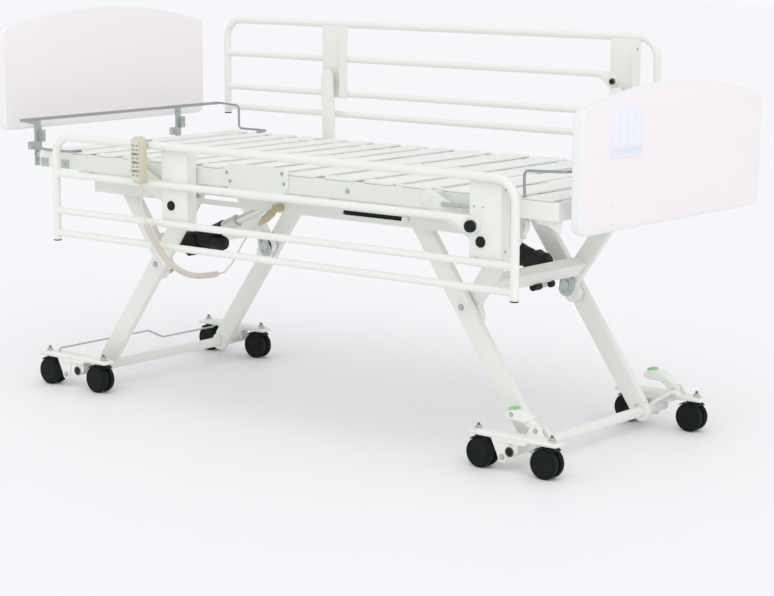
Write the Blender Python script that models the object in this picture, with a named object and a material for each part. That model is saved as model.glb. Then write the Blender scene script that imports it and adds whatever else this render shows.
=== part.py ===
# Electric bed: hi-lo frame on two castered bases, sectioned slat deck, end panels and two swing rails
# Metres, +Z up, floor at 0, head end towards -X, the side with the handset towards -Y
import math
import bpy
import bmesh
from mathutils import Vector

# Gaps
GAP = 0.0003            # between pieces that touch
RUN = 0.0004            # radial room round a pin

# End panels
HALF_LEN = 1.154        # middle of the bed to a panel's outer face
PANEL_T = 0.036
PANEL_W = 0.940
PANEL_H = 0.338         # bottom edge to shoulder
PANEL_RISE = 0.053      # shoulder to the top of the arch
PANEL_CORNER = 0.032
FOOT_PANEL_Z = 0.700
HEAD_PANEL_UP = 0.142   # the head panel hangs this much higher

# Fixed frame
SIDE_Y = 0.440          # middle of the side rail
SIDE_W = 0.025
SIDE_H = 0.050
SIDE_TOP = 0.784
HEAD_ROOM = 0.143       # end of the frame to a panel's inner face
FOOT_ROOM = 0.048
END_SINK = 0.001        # end cross rails set in from the side rails' ends
FRAME_END = {-1: HALF_LEN - PANEL_T - HEAD_ROOM, 1: HALF_LEN - PANEL_T - FOOT_ROOM}
TRACK_Y = 0.337         # outer face of the track that guides the legs
TRACK_T = 0.004
TRACK_FLANGE = 0.037
TRACK_Z0 = 0.652
TRACK_HALF = 0.850
BEAM_W = 0.050          # cross members under the deck
BEAM_H = 0.022

# Lift, measured outwards from its own middle
LIFT_X = 0.008          # middle of the lift along the bed
PIVOT_U = 0.790         # arm pivot on the frame
PIVOT_Z = 0.675
LEG_ANGLE = math.radians(55.0)
ARM_L = 0.299           # arm pivot to leg pivot, and leg pivot to slot pin
SHIN_L = 0.449          # leg pivot to base tube
LIFT_RANGE = math.radians(38.0)
LEG_Y = 0.280
LEG_T = 0.025
LEG_R = 0.030
ARM_Y = 0.2505
ARM_T = 0.025
ARM_R = 0.0275
PIN_R = 0.008
LEG_PIN_R = 0.010
SLOT_PIN_R = 0.0055
SMALL_PIN_R = 0.006      # motor lug, caster axle and latch shaft
PEDAL_PIN_R = 0.004
SLOT_ROOM = 0.0013
TIE_AT = 0.075          # cross tube's place along the arm, from the leg pivot
TIE_W = 0.040
TIE_H = 0.050

# Actuators
ACT_Y = 0.185           # towards the near side at the head end, the far side at the foot end
ACT_LUG_IN = 0.056      # motor pivot inwards of the cross tube's middle
ACT_LUG_DROP = 0.012
ACT_FRAME_U = 0.215
ACT_FRAME_Z = 0.645
ACT_TUBE_R = 0.019
ACT_TUBE_L = 0.270
ACT_ROD_R = 0.010
ACT_ROD_IN = 0.170
ACT_HALF = 0.023        # half width of the motor's eye
GEAR_FROM = 0.030
GEAR_TO = 0.085
GEAR_UP = 0.024
GEAR_DOWN = 0.045
MOTOR_R = 0.025
MOTOR_UP = 0.026        # the motor lies level, this far above its pivot
MOTOR_FROM = 0.019
MOTOR_TO = 0.195

# Bases and casters
BASE_TUBE_R = 0.016
BASE_OUT_HEAD = 0.028   # middle of the base outwards of its tube
BASE_OUT_FOOT = 0.002
ROW_Y = 0.383
STEM_DX = 0.127
BASE_HALF = 0.155
BASE_TOP = 0.110
BASE_T = 0.016
BASE_W = 0.046
WHEEL_R = 0.044
WHEEL_W = 0.018
WHEEL_GAP = 0.014       # between the two wheels of a caster
HOOD_T = 0.003
TRAIL = 0.016
STEM_R = 0.006

# Deck
SLAT_T = 0.006
SLAT_HALF = 0.445
SLAT_SPACE = 0.040
HINGE_Z = 0.768
BACK_X = -0.166
THIGH_X = 0.060
KNEE_X = 0.360
HEAD_DECK_IN = 0.020    # end of the frame to the end of the last slat
FOOT_DECK_IN = 0.028
DECK_END = {-1: FRAME_END[-1] - HEAD_DECK_IN, 1: FRAME_END[1] - FOOT_DECK_IN}
BACK_SLATS = 7
FOOT_SLATS = 5
HINGE_TO_SLAT = 0.021
BAR_OUT = 0.4075        # bars of the seat and foot sections
BAR_IN = 0.3795         # bars of the back and thigh sections
BAR_W_OUT = 0.025
BAR_W_IN = 0.020
BAR_LOW = 0.0155
BAR_ROOM = 0.004        # between the bars' ends and the end cross rails
LUG_R = 0.0155
DECK_PIN_R = 0.007

# Side rails
RAIL_Y = 0.5146
RAIL_R = 0.0125
BAR_R = 0.011
RAIL_L = 1.8015
RAIL_H = 0.331
RAIL_BARS = (0.2124, 0.0944, 0.0230)
RAIL_BEND = 0.065
RAIL_PIVOTS = (0.502, 1.680)
RAIL_PIVOT_Z = 0.150
RAIL_PLATES = (0.514, 1.693)
RAIL_PLATE_W = 0.108
RAIL_PLATE_Z = 0.080
RAIL_PLATE_T = 0.006
SWING_R = 0.2268
SWING_X = (-0.531, 0.647)
SWING_Z = 0.767
SWING_LOW = math.radians(-26.7)
SWING_HIGH = math.radians(92.0)
SWING_ARM_R = 0.026
SWING_ARM_T = 0.010
SWING_ARM_Y = 0.475
KNOB_R = 0.017
KNOB_AT = (1.653, 0.192)
PADDLE_R = 0.024        # rounded end of the upper bar, behind the knob
PADDLE_L = 0.055
PADDLE_T = 0.0085

# Mattress retainers, keypad, control box and side plate
WIRE_R = 0.004
WIRE_BEND = 0.014
WIRE_OUT = {-1: 0.096, 1: 0.041}     # cross bar beyond the last slat
WIRE_EDGE = 0.006       # foot wire in from the slats' ends, and the cross bar's rise
WIRE_RISE = {-1: 0.090, 1: 0.078}
WIRE_LEAN = 0.0015
WIRE_STEP = (0.014, 0.030)
WIRE_WIDE = 0.026       # head wire out from the slats' ends
WIRE_SEAT = 0.020       # its end's length on a slat
WIRE_ON_SLAT = {-1: 0.025, 1: 0.0045}   # foot of the wire from the edge of its slat
BRACKET_Y = {-1: 0.333, 1: 0.320}
BRACKET_HALF = {-1: 0.013, 1: 0.016}
BRACKET_LOW = {-1: 0.016, 1: 0.030}     # strap below the side rail
BRACKET_LAP = {-1: 0.030, 1: 0.075}     # strap on the panel
BRACKET_T = 0.004
PAD_Y = (-0.339, -0.180)
PAD_T = 0.0027
PAD_UP = (0.201, 0.332)
BOX_X = (-0.110, 0.060)
BOX_W = 0.095
PLATE_T = 0.004
PLATE_X = (-0.158, -0.130, -0.118, 0.062, 0.090, 0.104)
PLATE_LOW = 0.030
PLATE_STEP = (0.028, 0.012)
PLATE_UP = (0.006, 0.012, 0.022)

# Handset and its cord
SET_X = -0.4255
SET_W = 0.046
SET_T = 0.034
SET_Z0 = 0.729
SET_H = 0.145
KEY_W = 0.030
KEY_H = 0.012
KEY_T = 0.0035
KEY_POCKET = 0.0030
KEY_UP = (0.040, 0.066, 0.092)
CORD_R = 0.0031
COIL_R = 0.0068
COIL_PITCH = 0.0088
COIL_POINTS = 8

WHITE = (0.86, 0.87, 0.83)
SIDES = ((-1, "near"), (1, "far"))
ENDS = ((-1, "head"), (1, "foot"))

for old in list(bpy.data.objects):
    bpy.data.objects.remove(old, do_unlink=True)
for old in list(bpy.data.meshes):
    bpy.data.meshes.remove(old)
SCENE = bpy.context.scene


def mesh_object(verts, faces):
    """A closed mesh with outward faces as an object."""
    mesh = bpy.data.meshes.new("piece")
    mesh.from_pydata([tuple(v) for v in verts], [], faces)
    bm = bmesh.new()
    bm.from_mesh(mesh)
    bmesh.ops.recalc_face_normals(bm, faces=bm.faces[:])
    bm.to_mesh(mesh)
    bm.free()
    obj = bpy.data.objects.new("piece", mesh)
    SCENE.collection.objects.link(obj)
    return obj


def prism(ring_a, ring_b):
    """Solid between two matching rings of points."""
    n = len(ring_a)
    faces = [list(range(n)), list(range(n, 2 * n))]
    faces += [[i, (i + 1) % n, n + (i + 1) % n, n + i] for i in range(n)]
    return mesh_object(list(ring_a) + list(ring_b), faces)


def box(x0, x1, y0, y1, z0, z1):
    ring = [(x0, y0), (x1, y0), (x1, y1), (x0, y1)]
    return prism([(x, y, z0) for x, y in ring], [(x, y, z1) for x, y in ring])


def slab_y(points, y0, y1):
    """Outline in X and Z pushed through from y0 to y1."""
    return prism([(x, y0, z) for x, z in points], [(x, y1, z) for x, z in points])


def slab_x(points, x0, x1):
    """Outline in Y and Z pushed through from x0 to x1."""
    return prism([(x0, y, z) for y, z in points], [(x1, y, z) for y, z in points])


def circle(centre, radius, n=16, start=0.0):
    return [(centre[0] + radius * math.cos(start + 2 * math.pi * i / n),
             centre[1] + radius * math.sin(start + 2 * math.pi * i / n)) for i in range(n)]


def capsule(p, q, r, n=8):
    """Outline of a bar from p to q with half-round ends of radius r."""
    a = math.atan2(q[1] - p[1], q[0] - p[0])
    out = []
    for centre, turn in ((q, a - math.pi / 2), (p, a + math.pi / 2)):
        for i in range(n + 1):
            t = turn + math.pi * i / n
            out.append((centre[0] + r * math.cos(t), centre[1] + r * math.sin(t)))
    return out


def rod_y(x, z, y0, y1, r, n=12):
    return slab_y(circle((x, z), r, n), y0, y1)


def room(r):
    """Radius of a 12-sided bore that clears a 12-sided pin however it's turned."""
    return r / math.cos(math.pi / 12) + RUN


def rod_z(x, y, z0, z1, r, n=12):
    ring = circle((x, y), r, n)
    return prism([(a, b, z0) for a, b in ring], [(a, b, z1) for a, b in ring])


def rod(p, q, r, n=10):
    """Round bar between two points."""
    p, q = Vector(p), Vector(q)
    d = (q - p).normalized()
    side = d.cross(Vector((0, 0, 1)) if abs(d.z) < 0.9 else Vector((1, 0, 0))).normalized()
    up = side.cross(d)
    ring = [side * (r * math.cos(2 * math.pi * i / n)) + up * (r * math.sin(2 * math.pi * i / n))
            for i in range(n)]
    return prism([p + v for v in ring], [q + v for v in ring])


def bend(points, radius, steps=4):
    """Path with its inner corners rounded to the radius."""
    pts = [Vector(p) for p in points]
    out = [pts[0]]
    for a, b, c in zip(pts, pts[1:], pts[2:]):
        u, v = (a - b).normalized(), (c - b).normalized()
        half = u.angle(v) / 2
        cut = radius / math.tan(half)
        cut = min(cut, 0.48 * (a - b).length, 0.48 * (c - b).length)
        r = cut * math.tan(half)
        centre = b + (u + v).normalized() * (r / math.sin(half))
        s, e = b + u * cut - centre, b + v * cut - centre
        whole = s.angle(e)
        for i in range(steps + 1):
            t = i / steps
            out.append(centre + (s * math.sin((1 - t) * whole) + e * math.sin(t * whole)) / math.sin(whole))
    out.append(pts[-1])
    return out


def sweep(path, r, n=10):
    """Round tube along a path, its rings turned as little as possible."""
    path = [Vector(p) for p in path]
    tangents = []
    for i in range(len(path)):
        a, b = path[max(i - 1, 0)], path[min(i + 1, len(path) - 1)]
        tangents.append((b - a).normalized())
    t = tangents[0]
    side = t.cross(Vector((0, 1, 0)) if abs(t.y) < 0.9 else Vector((1, 0, 0))).normalized()
    verts, faces = [], []
    for i, (p, t) in enumerate(zip(path, tangents)):
        side = (side - t * side.dot(t)).normalized()
        up = t.cross(side)
        for k in range(n):
            a = 2 * math.pi * k / n
            verts.append(p + side * (r * math.cos(a)) + up * (r * math.sin(a)))
        if i:
            for k in range(n):
                a, b = (i - 1) * n + k, (i - 1) * n + (k + 1) % n
                faces.append([a, b, b + n, a + n])
    faces.append(list(range(n)))
    faces.append(list(range(len(verts) - n, len(verts))))
    return mesh_object(verts, faces)


def combine(base, others, operation):
    """Boolean of the base with every other piece at once."""
    group = bpy.data.collections.new("others")
    for obj in others:
        group.objects.link(obj)
        obj.hide_render = True
        obj.display_type = "WIRE"
    mod = base.modifiers.new("join", "BOOLEAN")
    mod.operation = operation
    mod.operand_type = "COLLECTION"
    mod.collection = group
    mod.solver = "EXACT"
    bpy.context.view_layer.update()
    graph = bpy.context.evaluated_depsgraph_get()
    mesh = bpy.data.meshes.new_from_object(base.evaluated_get(graph))
    base.modifiers.clear()
    old = base.data
    base.data = mesh
    bpy.data.meshes.remove(old)
    for obj in others:
        bpy.data.objects.remove(obj, do_unlink=True)
    bpy.data.collections.remove(group)


def solid(name, adds, cuts=(), color=WHITE, origin=(0, 0, 0), metal=0.0, rough=0.4):
    """One named sub-part: the pieces joined, the cutters taken away."""
    base = adds[0]
    if len(adds) > 1:
        combine(base, list(adds[1:]), "UNION")
    if cuts:
        combine(base, list(cuts), "DIFFERENCE")
    bm = bmesh.new()
    bm.from_mesh(base.data)
    bmesh.ops.remove_doubles(bm, verts=bm.verts[:], dist=0.00002)
    bmesh.ops.dissolve_limit(bm, angle_limit=0.0005, verts=bm.verts[:], edges=bm.edges[:])
    bmesh.ops.translate(bm, verts=bm.verts[:], vec=-Vector(origin))
    bm.to_mesh(base.data)
    bm.free()
    base.name = name
    base.data.name = name
    base.location = origin
    mat = bpy.data.materials.new(name)
    mat.use_nodes = True
    shader = mat.node_tree.nodes["Principled BSDF"]
    shader.inputs["Base Color"].default_value = (*color, 1.0)
    shader.inputs["Metallic"].default_value = metal
    shader.inputs["Roughness"].default_value = rough
    base.data.materials.clear()
    base.data.materials.append(mat)
    return base


def span(side, a, b):
    """The Y range from a to b on one side of the bed, low value first."""
    return (min(side * a, side * b), max(side * a, side * b))


# Derived heights and places
SLAT_Z0 = SIDE_TOP + GAP
SLAT_TOP = SLAT_Z0 + SLAT_T
SIDE_Z0 = SIDE_TOP - SIDE_H
BEAM_Z1 = SIDE_Z0 + BEAM_H / 2
BEAM_Z0 = BEAM_Z1 - BEAM_H
TRACK_Z1 = BEAM_Z0 + TRACK_T / 2
SIDE_IN = SIDE_Y - SIDE_W / 2
SIDE_OUT = SIDE_Y + SIDE_W / 2
COS, SIN = math.cos(LEG_ANGLE), math.sin(LEG_ANGLE)


def lift_points(end):
    """Frame pivot, leg pivot, slot pin and base tube of one end, in X and Z."""
    def at(u, z):
        return (LIFT_X + end * u, z)
    mid_u, mid_z = PIVOT_U - ARM_L * COS, PIVOT_Z - ARM_L * SIN
    return (at(PIVOT_U, PIVOT_Z), at(mid_u, mid_z),
            at(PIVOT_U - 2 * ARM_L * COS, PIVOT_Z),
            at(mid_u + SHIN_L * COS, mid_z - SHIN_L * SIN))


def along(p, q, d):
    """Point at distance d from p towards q."""
    length = math.hypot(q[0] - p[0], q[1] - p[1])
    return (p[0] + (q[0] - p[0]) * d / length, p[1] + (q[1] - p[1]) * d / length)


# Fixed frame
adds, cuts = [], []
for s, _ in SIDES:
    y0, y1 = span(s, SIDE_IN, SIDE_OUT)
    adds.append(box(-FRAME_END[-1], FRAME_END[1], y0, y1, SIDE_Z0, SIDE_TOP))
for e in (-1, 1):
    rail_end = FRAME_END[e] - END_SINK
    x0, x1 = sorted((e * rail_end, e * (rail_end - SIDE_W)))
    adds.append(box(x0, x1, -SIDE_Y, SIDE_Y, SIDE_Z0 + 0.001, SIDE_TOP - 0.001))
    for u in (PIVOT_U, ACT_FRAME_U):
        x = LIFT_X + e * u
        adds.append(box(x - BEAM_W / 2, x + BEAM_W / 2, -SIDE_Y, SIDE_Y, BEAM_Z0, BEAM_Z1))
for s, _ in SIDES:
    out, web, lip = s * TRACK_Y, s * (TRACK_Y - TRACK_T), s * (TRACK_Y - TRACK_FLANGE)
    z0, z1 = TRACK_Z0, TRACK_Z1
    profile = [(out, z0), (out, z1), (lip, z1), (lip, z1 - TRACK_T), (web, z1 - TRACK_T),
               (web, z0 + TRACK_T), (lip, z0 + TRACK_T), (lip, z0)]
    adds.append(slab_x(profile, LIFT_X - TRACK_HALF, LIFT_X + TRACK_HALF))
    for e, _ in ENDS:
        pivot, mid, pin, foot = lift_points(e)
        low = (LIFT_X + e * (PIVOT_U - 2 * ARM_L * math.cos(LEG_ANGLE - LIFT_RANGE)), PIVOT_Z)
        slot_r = SLOT_PIN_R + SLOT_ROOM
        y0, y1 = span(s, TRACK_Y - 2 * TRACK_T, TRACK_Y + TRACK_T)
        cuts.append(slab_y(capsule(along(low, pin, -SLOT_PIN_R), along(pin, low, -SLOT_PIN_R), slot_r, 4), y0, y1))
        for inner in (ARM_Y - ARM_T / 2 - 0.0085, ARM_Y + ARM_T / 2 + 0.0035):
            y0, y1 = span(s, inner, inner + 0.005)
            ear = capsule(pivot, (pivot[0], PIVOT_Z + 0.010), 0.020, 3)
            adds.append(slab_y(ear, y0, y1))
            adds.append(box(pivot[0] - 0.0195, pivot[0] + 0.0195, y0 + 0.0002, y1 - 0.0002,
                            PIVOT_Z + 0.005, BEAM_Z0 + 0.005))
        y0, y1 = span(s, ARM_Y - ARM_T / 2 - 0.011, ARM_Y + ARM_T / 2 + 0.011)
        adds.append(rod_y(pivot[0], PIVOT_Z, y0, y1, PIN_R))
    for x in SWING_X:
        y0, y1 = span(s, SIDE_OUT - 0.005, SWING_ARM_Y + SWING_ARM_T / 2 + 0.0045)
        adds.append(rod_y(x, SWING_Z, y0, y1, PIN_R))
for e, _ in ENDS:
    x = LIFT_X + e * ACT_FRAME_U
    for dy in (-0.026, 0.020):
        adds.append(box(x - 0.018, x + 0.018, e * ACT_Y + dy, e * ACT_Y + dy + 0.006,
                        ACT_FRAME_Z - 0.020, BEAM_Z0 + 0.005))
solid("main_frame", adds, cuts)

# Deck sections
def slat_width(x0, x1, count):
    return (x1 - x0 - (count - 1) * SLAT_SPACE) / count


def section(name, x0, x1, count, bar_y, bar_w, lugs, pins, origin):
    """Slats across two bars; lugs are bored hinge ends, pins carry the next section's lugs."""
    parts, holes = [], []
    width = slat_width(x0, x1, count)
    inner = {e: e * (FRAME_END[e] - END_SINK - SIDE_W - BAR_ROOM) for e in (-1, 1)}
    for i in range(count):
        a = x0 + i * (width + SLAT_SPACE)
        parts.append(box(a, a + width, -SLAT_HALF, SLAT_HALF, SLAT_Z0, SLAT_TOP))
    for s, _ in SIDES:
        y0, y1 = span(s, bar_y - bar_w / 2, bar_y + bar_w / 2)
        parts.append(box(max(x0 + 0.002, inner[-1]), min(x1 - 0.002, inner[1]), y0, y1,
                         HINGE_Z - BAR_LOW, SLAT_Z0 + 0.002))
        for hinge in lugs + pins:
            inward = 0.05 if hinge < (x0 + x1) / 2 else -0.05
            parts.append(slab_y(capsule((hinge, HINGE_Z), (hinge + inward, HINGE_Z), LUG_R - 0.0002, 4),
                                y0 + 0.0003, y1 - 0.0003))
        for hinge in lugs:
            holes.append(rod_y(hinge, HINGE_Z, y0 - 0.001, y1 + 0.001, room(DECK_PIN_R)))
        for hinge in pins:
            a, b = span(s, BAR_IN - BAR_W_IN / 2 - 0.003, bar_y)
            parts.append(rod_y(hinge, HINGE_Z, a, b, DECK_PIN_R))
    solid(name, parts, holes, origin=origin)


section("deck_seat", BACK_X + HINGE_TO_SLAT, THIGH_X - HINGE_TO_SLAT, 2, BAR_OUT, BAR_W_OUT,
        (), (BACK_X, THIGH_X), (0, 0, 0))
section("deck_back", -DECK_END[-1], BACK_X - HINGE_TO_SLAT, BACK_SLATS, BAR_IN, BAR_W_IN,
        (BACK_X,), (), (BACK_X, 0, HINGE_Z))
section("deck_thigh", THIGH_X + HINGE_TO_SLAT, KNEE_X - HINGE_TO_SLAT, 2, BAR_IN, BAR_W_IN,
        (THIGH_X, KNEE_X), (), (THIGH_X, 0, HINGE_Z))
section("deck_foot", KNEE_X + HINGE_TO_SLAT, DECK_END[1], FOOT_SLATS, BAR_OUT, BAR_W_OUT,
        (), (KNEE_X,), (KNEE_X, 0, HINGE_Z))

# End panels, their brackets and the mattress retainers
def panel_outline(z0):
    """Rounded rectangle with an arched top, in Y and Z."""
    half, r, top = PANEL_W / 2, PANEL_CORNER, z0 + PANEL_H
    out = []
    for cy, turn in ((-half + r, math.pi), (half - r, 1.5 * math.pi)):
        for i in range(5):
            t = turn + math.pi / 2 * i / 4
            out.append((cy + r * math.cos(t), z0 + r + r * math.sin(t)))
    chord = half - r
    radius = (chord ** 2 + PANEL_RISE ** 2) / (2 * PANEL_RISE)
    tilt = math.asin(chord / radius)
    for i in range(5):
        t = (math.pi / 2 - tilt) * i / 4
        out.append((half - r + r * math.cos(t), top - r + r * math.sin(t)))
    low = top - r + r * math.cos(tilt)
    edge = chord + r * math.sin(tilt)
    big = edge / math.sin(tilt)
    for i in range(1, 18):
        t = tilt - 2 * tilt * i / 18
        out.append((big * math.sin(t), low + big * (math.cos(t) - math.cos(tilt))))
    for i in range(5):
        t = math.pi / 2 + tilt + (math.pi / 2 - tilt) * i / 4
        out.append((-half + r + r * math.cos(t), top - r + r * math.sin(t)))
    return out


PANEL_IN = HALF_LEN - PANEL_T
for e, label in ENDS:
    z0 = FOOT_PANEL_Z + (HEAD_PANEL_UP if e < 0 else 0.0)
    x0, x1 = sorted((e * PANEL_IN, e * HALF_LEN))
    solid("panel_" + label, [slab_x(panel_outline(z0), x0, x1)], color=(0.87, 0.80, 0.78))
    for s, side in SIDES:
        y, half = s * BRACKET_Y[e], BRACKET_HALF[e]
        a, b = sorted((e * (PANEL_IN - GAP), e * (PANEL_IN - GAP - BRACKET_T)))
        strap = box(a, b, y - half, y + half, SIDE_Z0 - BRACKET_LOW[e], z0 + BRACKET_LAP[e])
        a, b = sorted((e * (FRAME_END[e] - END_SINK + GAP), e * (PANEL_IN - 0.003)))
        foot = box(a, b, y - half + 0.003, y + half - 0.003, SIDE_Z0 + 0.012, SIDE_Z0 + 0.030)
        solid("bracket_%s_%s" % (label, side), [strap, foot], color=(0.55, 0.60, 0.62), metal=1.0, rough=0.35)

back_width = slat_width(-DECK_END[-1], BACK_X - HINGE_TO_SLAT, BACK_SLATS)
foot_width = slat_width(KNEE_X + HINGE_TO_SLAT, DECK_END[1], FOOT_SLATS)
WIRE_FOOT = {-1: DECK_END[-1] - back_width - SLAT_SPACE - WIRE_ON_SLAT[-1],
             1: DECK_END[1] - foot_width + WIRE_ON_SLAT[1]}
for e, label in ENDS:
    top = SLAT_TOP + WIRE_RISE[e]
    foot_x, cross_x = WIRE_FOOT[e], DECK_END[e] + WIRE_OUT[e]
    if e < 0:
        y, drop_x, low = SLAT_HALF + WIRE_WIDE, DECK_END[e] - WIRE_EDGE, SLAT_TOP + GAP + WIRE_R
        shape = [(foot_x, SLAT_HALF - WIRE_SEAT, low), (foot_x, y, low), (drop_x, y, low),
                 (drop_x, y, top - WIRE_EDGE), (cross_x, y, top)]
    else:
        y, drop_x = SLAT_HALF - WIRE_EDGE, foot_x - WIRE_LEAN
        shape = [(foot_x, y, SLAT_TOP + GAP), (foot_x, y, SLAT_TOP + WIRE_STEP[0]),
                 (drop_x, y, SLAT_TOP + WIRE_STEP[1]), (drop_x, y, top - WIRE_EDGE), (cross_x, y, top)]
    path = [(e * x, -w, z) for x, w, z in shape] + [(e * x, w, z) for x, w, z in reversed(shape)]
    wires = [sweep(bend(path, WIRE_BEND, 2), WIRE_R, 6)]
    if e < 0:
        step = 4 * WIRE_R
        x = e * (cross_x - step)
        z = top - WIRE_EDGE * step / (cross_x - drop_x)
        wires.append(rod((x, -y, z), (x, y, z), WIRE_R * 0.9, 6))
    origin = (BACK_X, 0, HINGE_Z) if e < 0 else (KNEE_X, 0, HINGE_Z)
    solid("retainer_" + label, wires, color=(0.55, 0.53, 0.52), metal=1.0, rough=0.3, origin=origin)

# Staff control pad, control box and the plate on the near side rail
solid("control_pad", [box(HALF_LEN + GAP, HALF_LEN + GAP + PAD_T, PAD_Y[0], PAD_Y[1],
                          FOOT_PANEL_Z + PAD_UP[0], FOOT_PANEL_Z + PAD_UP[1])], color=(0.70, 0.78, 0.88))
BOX_Y = TRACK_Y - TRACK_FLANGE - GAP
solid("control_box", [box(BOX_X[0], BOX_X[1], -BOX_Y, -BOX_Y + BOX_W, TRACK_Z0 + 0.004, BEAM_Z0 - 0.004)],
      color=(0.16, 0.16, 0.17))
plate = [(PLATE_X[0], SIDE_Z0 + PLATE_STEP[0]), (PLATE_X[2], SIDE_Z0 - PLATE_LOW),
         (PLATE_X[3], SIDE_Z0 - PLATE_LOW), (PLATE_X[5], SIDE_Z0 + PLATE_STEP[1]),
         (PLATE_X[5], SIDE_TOP + PLATE_UP[1]), (PLATE_X[4], SIDE_TOP + PLATE_UP[2]),
         (PLATE_X[1], SIDE_TOP + PLATE_UP[2]), (PLATE_X[0], SIDE_TOP + PLATE_UP[0])]
solid("side_plate", [slab_y(plate, -SIDE_OUT - GAP - PLATE_T, -SIDE_OUT - GAP)])

# Lift arms, legs, bases, casters and pedals
for e, label in ENDS:
    pivot, mid, pin, foot = lift_points(e)
    tie = along(mid, pivot, TIE_AT)
    ux, uz = (pivot[0] - mid[0]) / ARM_L, (pivot[1] - mid[1]) / ARM_L
    adds, cuts = [], []
    for s, _ in SIDES:
        y0, y1 = span(s, ARM_Y - ARM_T / 2, ARM_Y + ARM_T / 2)
        adds.append(slab_y(capsule(pivot, mid, ARM_R, 5), y0, y1))
        cuts.append(rod_y(pivot[0], pivot[1], y0 - 0.001, y1 + 0.001, room(PIN_R)))
        cuts.append(rod_y(mid[0], mid[1], y0 - 0.001, y1 + 0.001, room(LEG_PIN_R)))
    corner = [(-TIE_H / 2, -TIE_W / 2), (TIE_H / 2, -TIE_W / 2), (TIE_H / 2, TIE_W / 2), (-TIE_H / 2, TIE_W / 2)]
    ring = [(tie[0] + a * ux - b * uz, tie[1] + a * uz + b * ux) for a, b in corner]
    adds.append(slab_y(ring, -ARM_Y, ARM_Y))
    lug = (tie[0] - e * ACT_LUG_IN, tie[1] - ACT_LUG_DROP)
    act_y = e * ACT_Y
    for y in (act_y - ACT_HALF - 0.007, act_y + ACT_HALF + 0.001):
        adds.append(slab_y(capsule(lug, tie, 0.013, 4), y, y + 0.006))
    adds.append(rod_y(lug[0], lug[1], act_y - ACT_HALF - 0.009, act_y + ACT_HALF + 0.009, SMALL_PIN_R))
    solid("arm_" + label, adds, cuts, origin=(pivot[0], 0, pivot[1]))

    for s, side in SIDES:
        y0, y1 = span(s, LEG_Y - LEG_T / 2, LEG_Y + LEG_T / 2)
        bar = slab_y(capsule(pin, foot, LEG_R, 5), y0, y1)
        a, b = span(s, LEG_Y, TRACK_Y + 0.010)
        slot_pin = rod_y(pin[0], pin[1], a, b, SLOT_PIN_R, 12)
        a, b = span(s, TRACK_Y + 0.002, TRACK_Y + 0.009)
        pin_head = rod_y(pin[0], pin[1], a, b, 0.011, 8)
        a, b = span(s, ARM_Y - ARM_T / 2 - 0.006, LEG_Y)
        mid_pin = rod_y(mid[0], mid[1], a, b, LEG_PIN_R)
        a, b = span(s, ARM_Y - ARM_T / 2 - 0.007, ARM_Y - ARM_T / 2 - 0.001)
        mid_head = rod_y(mid[0], mid[1], a, b, 0.017, 8)
        hole = rod_y(foot[0], foot[1], y0 - 0.001, y1 + 0.001, room(BASE_TUBE_R))
        solid("leg_%s_%s" % (label, side), [bar, slot_pin, pin_head, mid_pin, mid_head], [hole],
              origin=(mid[0], 0, mid[1]))

    base_x = foot[0] + e * (BASE_OUT_HEAD if e < 0 else BASE_OUT_FOOT)
    adds, cuts = [rod_y(foot[0], foot[1], -ROW_Y - 0.024, ROW_Y + 0.024, BASE_TUBE_R)], []
    for s, _ in SIDES:
        y = s * ROW_Y
        adds.append(box(base_x - BASE_HALF, base_x + BASE_HALF, y - BASE_W / 2, y + BASE_W / 2,
                        BASE_TOP - BASE_T, BASE_TOP))
        y0, y1 = span(s, ROW_Y - 0.018, ROW_Y + 0.016)
        adds.append(box(foot[0] - 0.021, foot[0] + 0.021, y0, y1, foot[1] + 0.004, BASE_TOP - 0.003))
        y0, y1 = span(s, ROW_Y + BASE_W / 2 - 0.009, ROW_Y + BASE_W / 2 - 0.003)
        lug_x = base_x - 0.030
        adds.append(slab_y([(lug_x - 0.045, BASE_TOP - 0.004), (lug_x - 0.015, 0.040), (lug_x - 0.008, 0.028),
                            (lug_x + 0.008, 0.028), (lug_x + 0.015, 0.040), (lug_x + 0.030, BASE_TOP - 0.004)],
                           y0, y1))
        for dx in (-STEM_DX, STEM_DX):
            cuts.append(rod_z(base_x + dx, y, BASE_TOP - BASE_T - 0.001, BASE_TOP + 0.001, room(STEM_R)))
    if e < 0:
        x = base_x - 0.080
        path = [(x, -ROW_Y, BASE_TOP - 0.004), (x, -ROW_Y, BASE_TOP + 0.012), (x, 0.030, BASE_TOP + 0.012),
                (x, 0.100, BASE_TOP - 0.020), (x, ROW_Y - 0.030, BASE_TOP - 0.020),
                (x, ROW_Y, BASE_TOP - 0.008)]
        adds.append(sweep(bend(path, 0.010, 2), 0.003, 6))
    else:
        for s, _ in SIDES:
            for y in (ROW_Y - 0.036, ROW_Y - 0.010):
                y0, y1 = span(s, y, y + 0.004)
                adds.append(slab_y([(base_x + 0.030, BASE_TOP - 0.004), (base_x + 0.100, BASE_TOP - 0.004),
                                    (base_x + 0.080, BASE_TOP + 0.030), (base_x + 0.050, BASE_TOP + 0.030)], y0, y1))
            y0, y1 = span(s, ROW_Y - 0.038, ROW_Y - 0.004)
            adds.append(rod_y(base_x + 0.065, BASE_TOP + 0.018, y0, y1, PEDAL_PIN_R))
            y0, y1 = span(s, ROW_Y - 0.036, ROW_Y)
            adds.append(box(base_x + 0.032, base_x + 0.098, y0, y1, BASE_TOP - 0.007, BASE_TOP - 0.001))
    solid("base_" + label, adds, cuts, origin=(foot[0], 0, foot[1]))

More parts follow.
